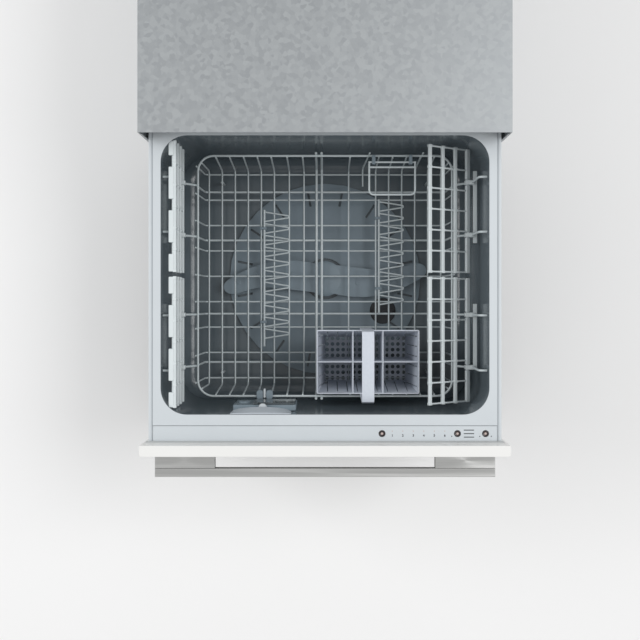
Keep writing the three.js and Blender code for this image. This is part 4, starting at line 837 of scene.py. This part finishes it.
RACK_BARS = 3
RACK_PITCH = 0.029
RACK_BAR = (0.005, 0.006)
RACK_ROD = 0.003
RACK_RODS = 7
RACK_ENDS = (-0.220, 0.223)
RACK_GAP = 0.0086
RACK_TILT = 35
TOOTH = (0.0535, 0.0190, 0.0073)
TOOTH_PHASE = {"rear": -0.0335, "front": -0.0377}
HINGE_BAR = 0.004
CLIP_GAP = 0.0052
rack_length = (RACK_ENDS[1] - RACK_ENDS[0] - RACK_GAP) / 2
rod_pitch = (rack_length - RACK_ROD) / (RACK_RODS - 1)
free = RACK_BARS * RACK_PITCH
thick, wide = RACK_BAR
long_tooth, tooth_gap, tooth_reach = TOOTH
tooth_step = long_tooth + tooth_gap
most_teeth = int(rack_length / 2 / tooth_step) + 1

rack_plastic, tree, shader = new_finish("Moulded white-grey polypropylene", 0.35)
tint(tree, shader, noise(tree, 45, 2), "#CDD5D7", "#D6DDDF")
emboss(tree, shader, noise(tree, 1 / 0.0012, 1), 0.08, 0.0002)

hand_over(merge(side_clips), "rack_clips", rack_plastic, "basket")


def toothed_edge(end):
    """The strip along a rack's free edge, and the broad teeth that stand out from it."""
    strip = block((-thick / 2 - 0.0025, 0.0005, free - wide / 2 - 0.0012),
                  (thick / 2 - 0.0003, rack_length - 0.0005, free + wide / 2 - 0.0026))
    made = [ease(strip, 0.0012, 3)]
    for i in range(-most_teeth, most_teeth + 1):
        tooth_middle = rack_length / 2 + i * tooth_step + TOOTH_PHASE[end]
        y0, y1 = max(tooth_middle - long_tooth / 2, 0), min(tooth_middle + long_tooth / 2, rack_length)
        if y1 - y0 > wide:
            tooth = block((-thick / 2 - tooth_reach, y0, free - wide / 2 + 0.0008),
                          (-0.0011, y1, free + wide / 2 + 0.0010))
            made.append(ease(tooth, 0.0012, 3))
    return made


for side, sx in (("left", -1), ("right", 1)):
    for end, start_y in (("rear", RACK_ENDS[1] - rack_length), ("front", RACK_ENDS[0])):
        parts = [ease(round_bar((0, 0, 0), (0, rack_length, 0), 0.0028, 20), 0.0005)]
        for i in range(1, RACK_BARS + 1):
            z = i * RACK_PITCH
            bar = block((-thick / 2, 0, z - wide / 2), (thick / 2, rack_length, z + wide / 2))
            parts.append(ease(bar, 0.0011, 3))
        for i in range(RACK_RODS):
            y = RACK_ROD / 2 + i * rod_pitch
            parts.append(draw_wire([(0, y, 0), (0, y, free / 2), (0, y, free)], RACK_ROD, 0))
            for j in range(1, RACK_BARS + 1):
                z = j * RACK_PITCH
                boss = block((-thick / 2 - 0.0006, y - 0.0025, z - wide / 2 - 0.0008),
                             (thick / 2 + 0.0006, y + 0.0025, z + wide / 2 + 0.0008))
                parts.append(ease(boss, 0.0012, 2))
        # A flat bar along the hinge rod, left out where the basket's clips hold the rod.
        clips = sorted(place - start_y for place in HANGERS if 0 < place - start_y < rack_length)
        starts = [0] + [y + CLIP_GAP for y in clips]
        ends = [y - CLIP_GAP for y in clips] + [rack_length]
        for y0, y1 in zip(starts, ends):
            parts.append(ease(block((-0.0029, y0, -HINGE_BAR), (0.0029, y1, HINGE_BAR)), 0.0011, 3))
        if side == "left":
            parts += toothed_edge(end)
        rack = merge(parts)
        rack.rotation_euler.y = -radians(90 - RACK_TILT) if sx > 0 else 0
        rack.location = (sx * RACK_HINGE[0], middle + start_y, RACK_HINGE[1])
        node = f"cup_rack_{side}_{end}"
        hand_over(settle(rack), node + "_grille", rack_plastic, node, [node])

# ---- Cutlery basket ------------------------------------------------------------------------------
# A tapered polypropylene basket in six compartments, its walls slotted and its floor pierced so
# that the spray passes through. A flat strap handle arches over the middle.

CUTLERY_TAPER = 0.014
CUTLERY_WALL = 0.002
CUTLERY_CORNER = 0.003
DIVIDERS = (0.0498, 0.1032)
HOLE_RADIUS = 0.0036
HOLE_PITCH = 0.0105
WALL_SLOT = 0.0016
SLOT_PITCH = 0.018
SLOT_CUT = 0.020
SLOT_PAST = 0.005

cutlery_plastic, tree, shader = new_finish("Moulded cool grey polypropylene", 0.4)
tint(tree, shader, noise(tree, 1 / 0.004, 3), "#BEC5D0", "#CDD2DB")
emboss(tree, shader, noise(tree, 1 / 0.0015, 1), 0.15, 0.0003)

low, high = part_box("cutlery_basket")
centre_x, centre_y = (low.x + high.x) / 2, (low.y + high.y) / 2
half_x, half_y = (high.x - low.x) / 2, (high.y - low.y) / 2
narrow_x, narrow_y = 1 - CUTLERY_TAPER / half_x, 1 - CUTLERY_TAPER / half_y
tray = rounded_box(low, high, CUTLERY_CORNER, 4)
pick(tray, faces=lambda centre, normal: normal.z < -0.9)
bpy.ops.transform.resize(value=(narrow_x, narrow_y, 1), center_override=(centre_x, centre_y, low.z))
pick(tray, faces=lambda centre, normal: normal.z > 0.9)
bpy.ops.mesh.delete(type="FACE")
bpy.ops.object.mode_set(mode="OBJECT")
modify(tray, "SOLIDIFY", thickness=CUTLERY_WALL, offset=-1, use_even_offset=True)

# Round holes in the floor, in a square pattern that each compartment centres for itself.
cells_x = [low.x + CUTLERY_TAPER, *DIVIDERS, high.x - CUTLERY_TAPER]
cells_y = [low.y + CUTLERY_TAPER, centre_y, high.y - CUTLERY_TAPER]
hole = round_bar((0, 0, low.z - 0.003), (0, 0, low.z + 0.005), HOLE_RADIUS, 14)
hole_places = []
for x0, x1 in zip(cells_x, cells_x[1:]):
    for y0, y1 in zip(cells_y, cells_y[1:]):
        columns, rows = round((x1 - x0) / HOLE_PITCH), round((y1 - y0) / HOLE_PITCH)
        hole_places += [(x0 + (x1 - x0) * (i + 0.5) / columns, y0 + (y1 - y0) * (j + 0.5) / rows, 0)
                        for i in range(columns) for j in range(rows)]
cut_away(tray, merge(laid_out(hole, hole_places)))

# Thin upright slots in the four walls, cut straight through.
foot, head = low.z + 0.010, high.z - 0.012
slot_x = block((centre_x - WALL_SLOT / 2, low.y - SLOT_PAST, foot),
               (centre_x + WALL_SLOT / 2, low.y + SLOT_CUT, head))
places = [(i * SLOT_PITCH, 0, 0) for i in (-4, -3, -2, -1, 1, 2, 3, 4)]
far_wall_shift = SLOT_PAST - SLOT_CUT
slots = copies(slot_x, places + [(x, 2 * half_y + far_wall_shift, 0) for x, y, z in places + [(0, 0, 0)]])
slot_y = block((low.x - SLOT_PAST, centre_y - WALL_SLOT / 2, foot),
               (low.x + SLOT_CUT, centre_y + WALL_SLOT / 2, head))
places = [(0, (i + 0.5) * SLOT_PITCH, 0) for i in (-3, -2, -1, 0, 1, 2)]
sides = laid_out(slot_y, places + [(2 * half_x + far_wall_shift, y, 0) for x, y, z in places])
cut_away(tray, merge(slots), merge(sides))


def divider(low_corner, high_corner, narrow):
    """A thin wall across the tray, its ends leaning as the tray's walls do."""
    wall = block(low_corner, high_corner)
    pick(wall, faces=lambda centre, normal: normal.z < -0.9)
    bpy.ops.transform.resize(value=narrow, center_override=(centre_x, centre_y, low_corner[2]))
    bpy.ops.object.mode_set(mode="OBJECT")
    return ease(wall, 0.0004, 2)


parts = [tray]
for x in DIVIDERS:
    wall = divider((-CUTLERY_WALL / 2, low.y + 0.001, low.z + 0.001),
                   (CUTLERY_WALL / 2, high.y - 0.001, high.z - 0.0005), (1, narrow_y, 1))
    wall.location.x = x
    parts.append(settle(wall))
parts.append(divider((low.x + 0.001, centre_y - CUTLERY_WALL / 2, low.z + 0.001),
                     (high.x - 0.001, centre_y + CUTLERY_WALL / 2, high.z - 0.0005), (narrow_x, 1, 1)))
hand_over(merge(parts), "cutlery_tray", cutlery_plastic, "cutlery", ["cutlery_basket"])
refine("cutlery_handle", "strap_handle", 0.0008, cutlery_plastic, "cutlery")

# ---- Chassis beads and screws --------------------------------------------------------------------
# Shallow beads pressed outwards stiffen the chassis's side and back sheets, and plated pan-head
# screws hold the sheets together along their folded edges.

BEAD = (0.018, 0.0025)
SCREW = (0.0042, 0.0022)
EDGE_IN = 0.012
SIDE_BEAD_LENGTH = 0.29
BACK_BEAD_LENGTH = 0.44
BACK_BEADS = (0.17, 0.25, 0.33)

side_low, side_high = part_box("chassis_side_left")
outer_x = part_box("chassis_side_right")[1].x
back_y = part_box("chassis_top")[1].y
top_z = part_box("chassis_top")[1].z
side_middle = (side_low.z + top_z) / 2
screw_rows = (side_low.z + EDGE_IN, top_z - EDGE_IN)


def bead(length, turn):
    """A bead pressed out of a sheet: long in X and raised in Z before it is turned."""
    width, rise = BEAD
    obj = rounded_box((-length / 2, -width / 2, -0.0006), (length / 2, width / 2, rise), 0.49 * width, 6)
    ease(obj, 0.9 * rise, 4, 60)
    obj.rotation_euler = [radians(a) for a in turn]
    return settle(obj)


def screw(turn):
    radius, rise = SCREW
    head = [(radius, -0.0004), (radius, 0.3 * rise), (0.8 * radius, 0.8 * rise), (0.4 * radius, rise)]
    obj = turned(head, (0, 0), 16)
    obj.rotation_euler = [radians(a) for a in turn]
    return settle(obj)


def spread(first, last, count):
    return [first + (last - first) * i / (count - 1) for i in range(count)]


beads, screws = [], []
for outwards, x in ((-90, -outer_x), (90, outer_x)):
    places = [(x, y, side_middle) for y in spread(side_low.y + 0.09, back_y - 0.09, 4)]
    beads += laid_out(bead(SIDE_BEAD_LENGTH, (0, outwards, 0)), places)
    places = [(x, y, z) for y in spread(side_low.y + 0.035, back_y - 0.035, 5) for z in screw_rows]
    screws += laid_out(screw((0, outwards, 0)), places)
beads += laid_out(bead(BACK_BEAD_LENGTH, (-90, 0, 0)), [(0, back_y, z) for z in BACK_BEADS])
places = [(x, back_y, z) for x in spread(0.03 - outer_x, outer_x - 0.03, 5) for z in screw_rows]
screws += laid_out(screw((-90, 0, 0)), places)
hand_over(merge(beads), "chassis_beads", zinc, "chassis")
hand_over(merge(screws), "chassis_screws", plated, "chassis")

# ---- Studio --------------------------------------------------------------------------------------
# A plain pale floor under soft, even light from two large lamps, one at each side.

start()
bpy.ops.mesh.primitive_plane_add(size=8, location=(0, -0.3, -0.003))
floor = settle(bpy.context.object)
floor.name = "studio_floor"
floor_paint, tree, shader = new_finish("Matt pale floor", 0.9)
tint(tree, shader, noise(tree, 2, 2), "#ECECEC", "#EEEEEE")
floor.data.materials.append(floor_paint)

world = bpy.data.worlds.new("Studio air")
bpy.context.scene.world = world
world.use_nodes = True
sky = world.node_tree.nodes["Background"]
sky.inputs["Color"].default_value = srgb("#FFFFFF")
sky.inputs["Strength"].default_value = 0.62


def soft_lamp(name, place, target, size, power):
    lamp = bpy.data.lights.new(name, "AREA")
    lamp.shape = "SQUARE"
    lamp.size = size
    lamp.energy = power
    obj = bpy.data.objects.new(name, lamp)
    obj.location = place
    obj.rotation_euler = (Vector(target) - Vector(place)).to_track_quat("-Z", "Y").to_euler()
    bpy.context.scene.collection.objects.link(obj)


soft_lamp("Left softbox", (-3.0, 0.1, 2.3), (0, -0.5, 0.3), 2.0, 56)
soft_lamp("Right softbox", (2.5, -0.1, 3.4), (0, -0.5, 0.2), 2.2, 68)

# ---- Camera --------------------------------------------------------------------------------------
# Straight down from about 1.9 m over the open drawer, as the photograph was taken.

FOCAL_PIXELS = 959
FRAME_PIXELS = 640
PRINCIPAL = (325, 302)
camera = bpy.data.cameras.new("Overhead camera")
camera.sensor_width = 36
camera.lens = FOCAL_PIXELS / FRAME_PIXELS * camera.sensor_width
camera.shift_x = -(PRINCIPAL[0] - FRAME_PIXELS / 2) / FRAME_PIXELS
camera.shift_y = (PRINCIPAL[1] - FRAME_PIXELS / 2) / FRAME_PIXELS
overhead = bpy.data.objects.new("Overhead camera", camera)
overhead.location = (0, middle - 0.0448, 1.941)
bpy.context.scene.collection.objects.link(overhead)
bpy.context.scene.camera = overhead

view = bpy.context.scene.view_settings
view.view_transform = "Standard"
start()
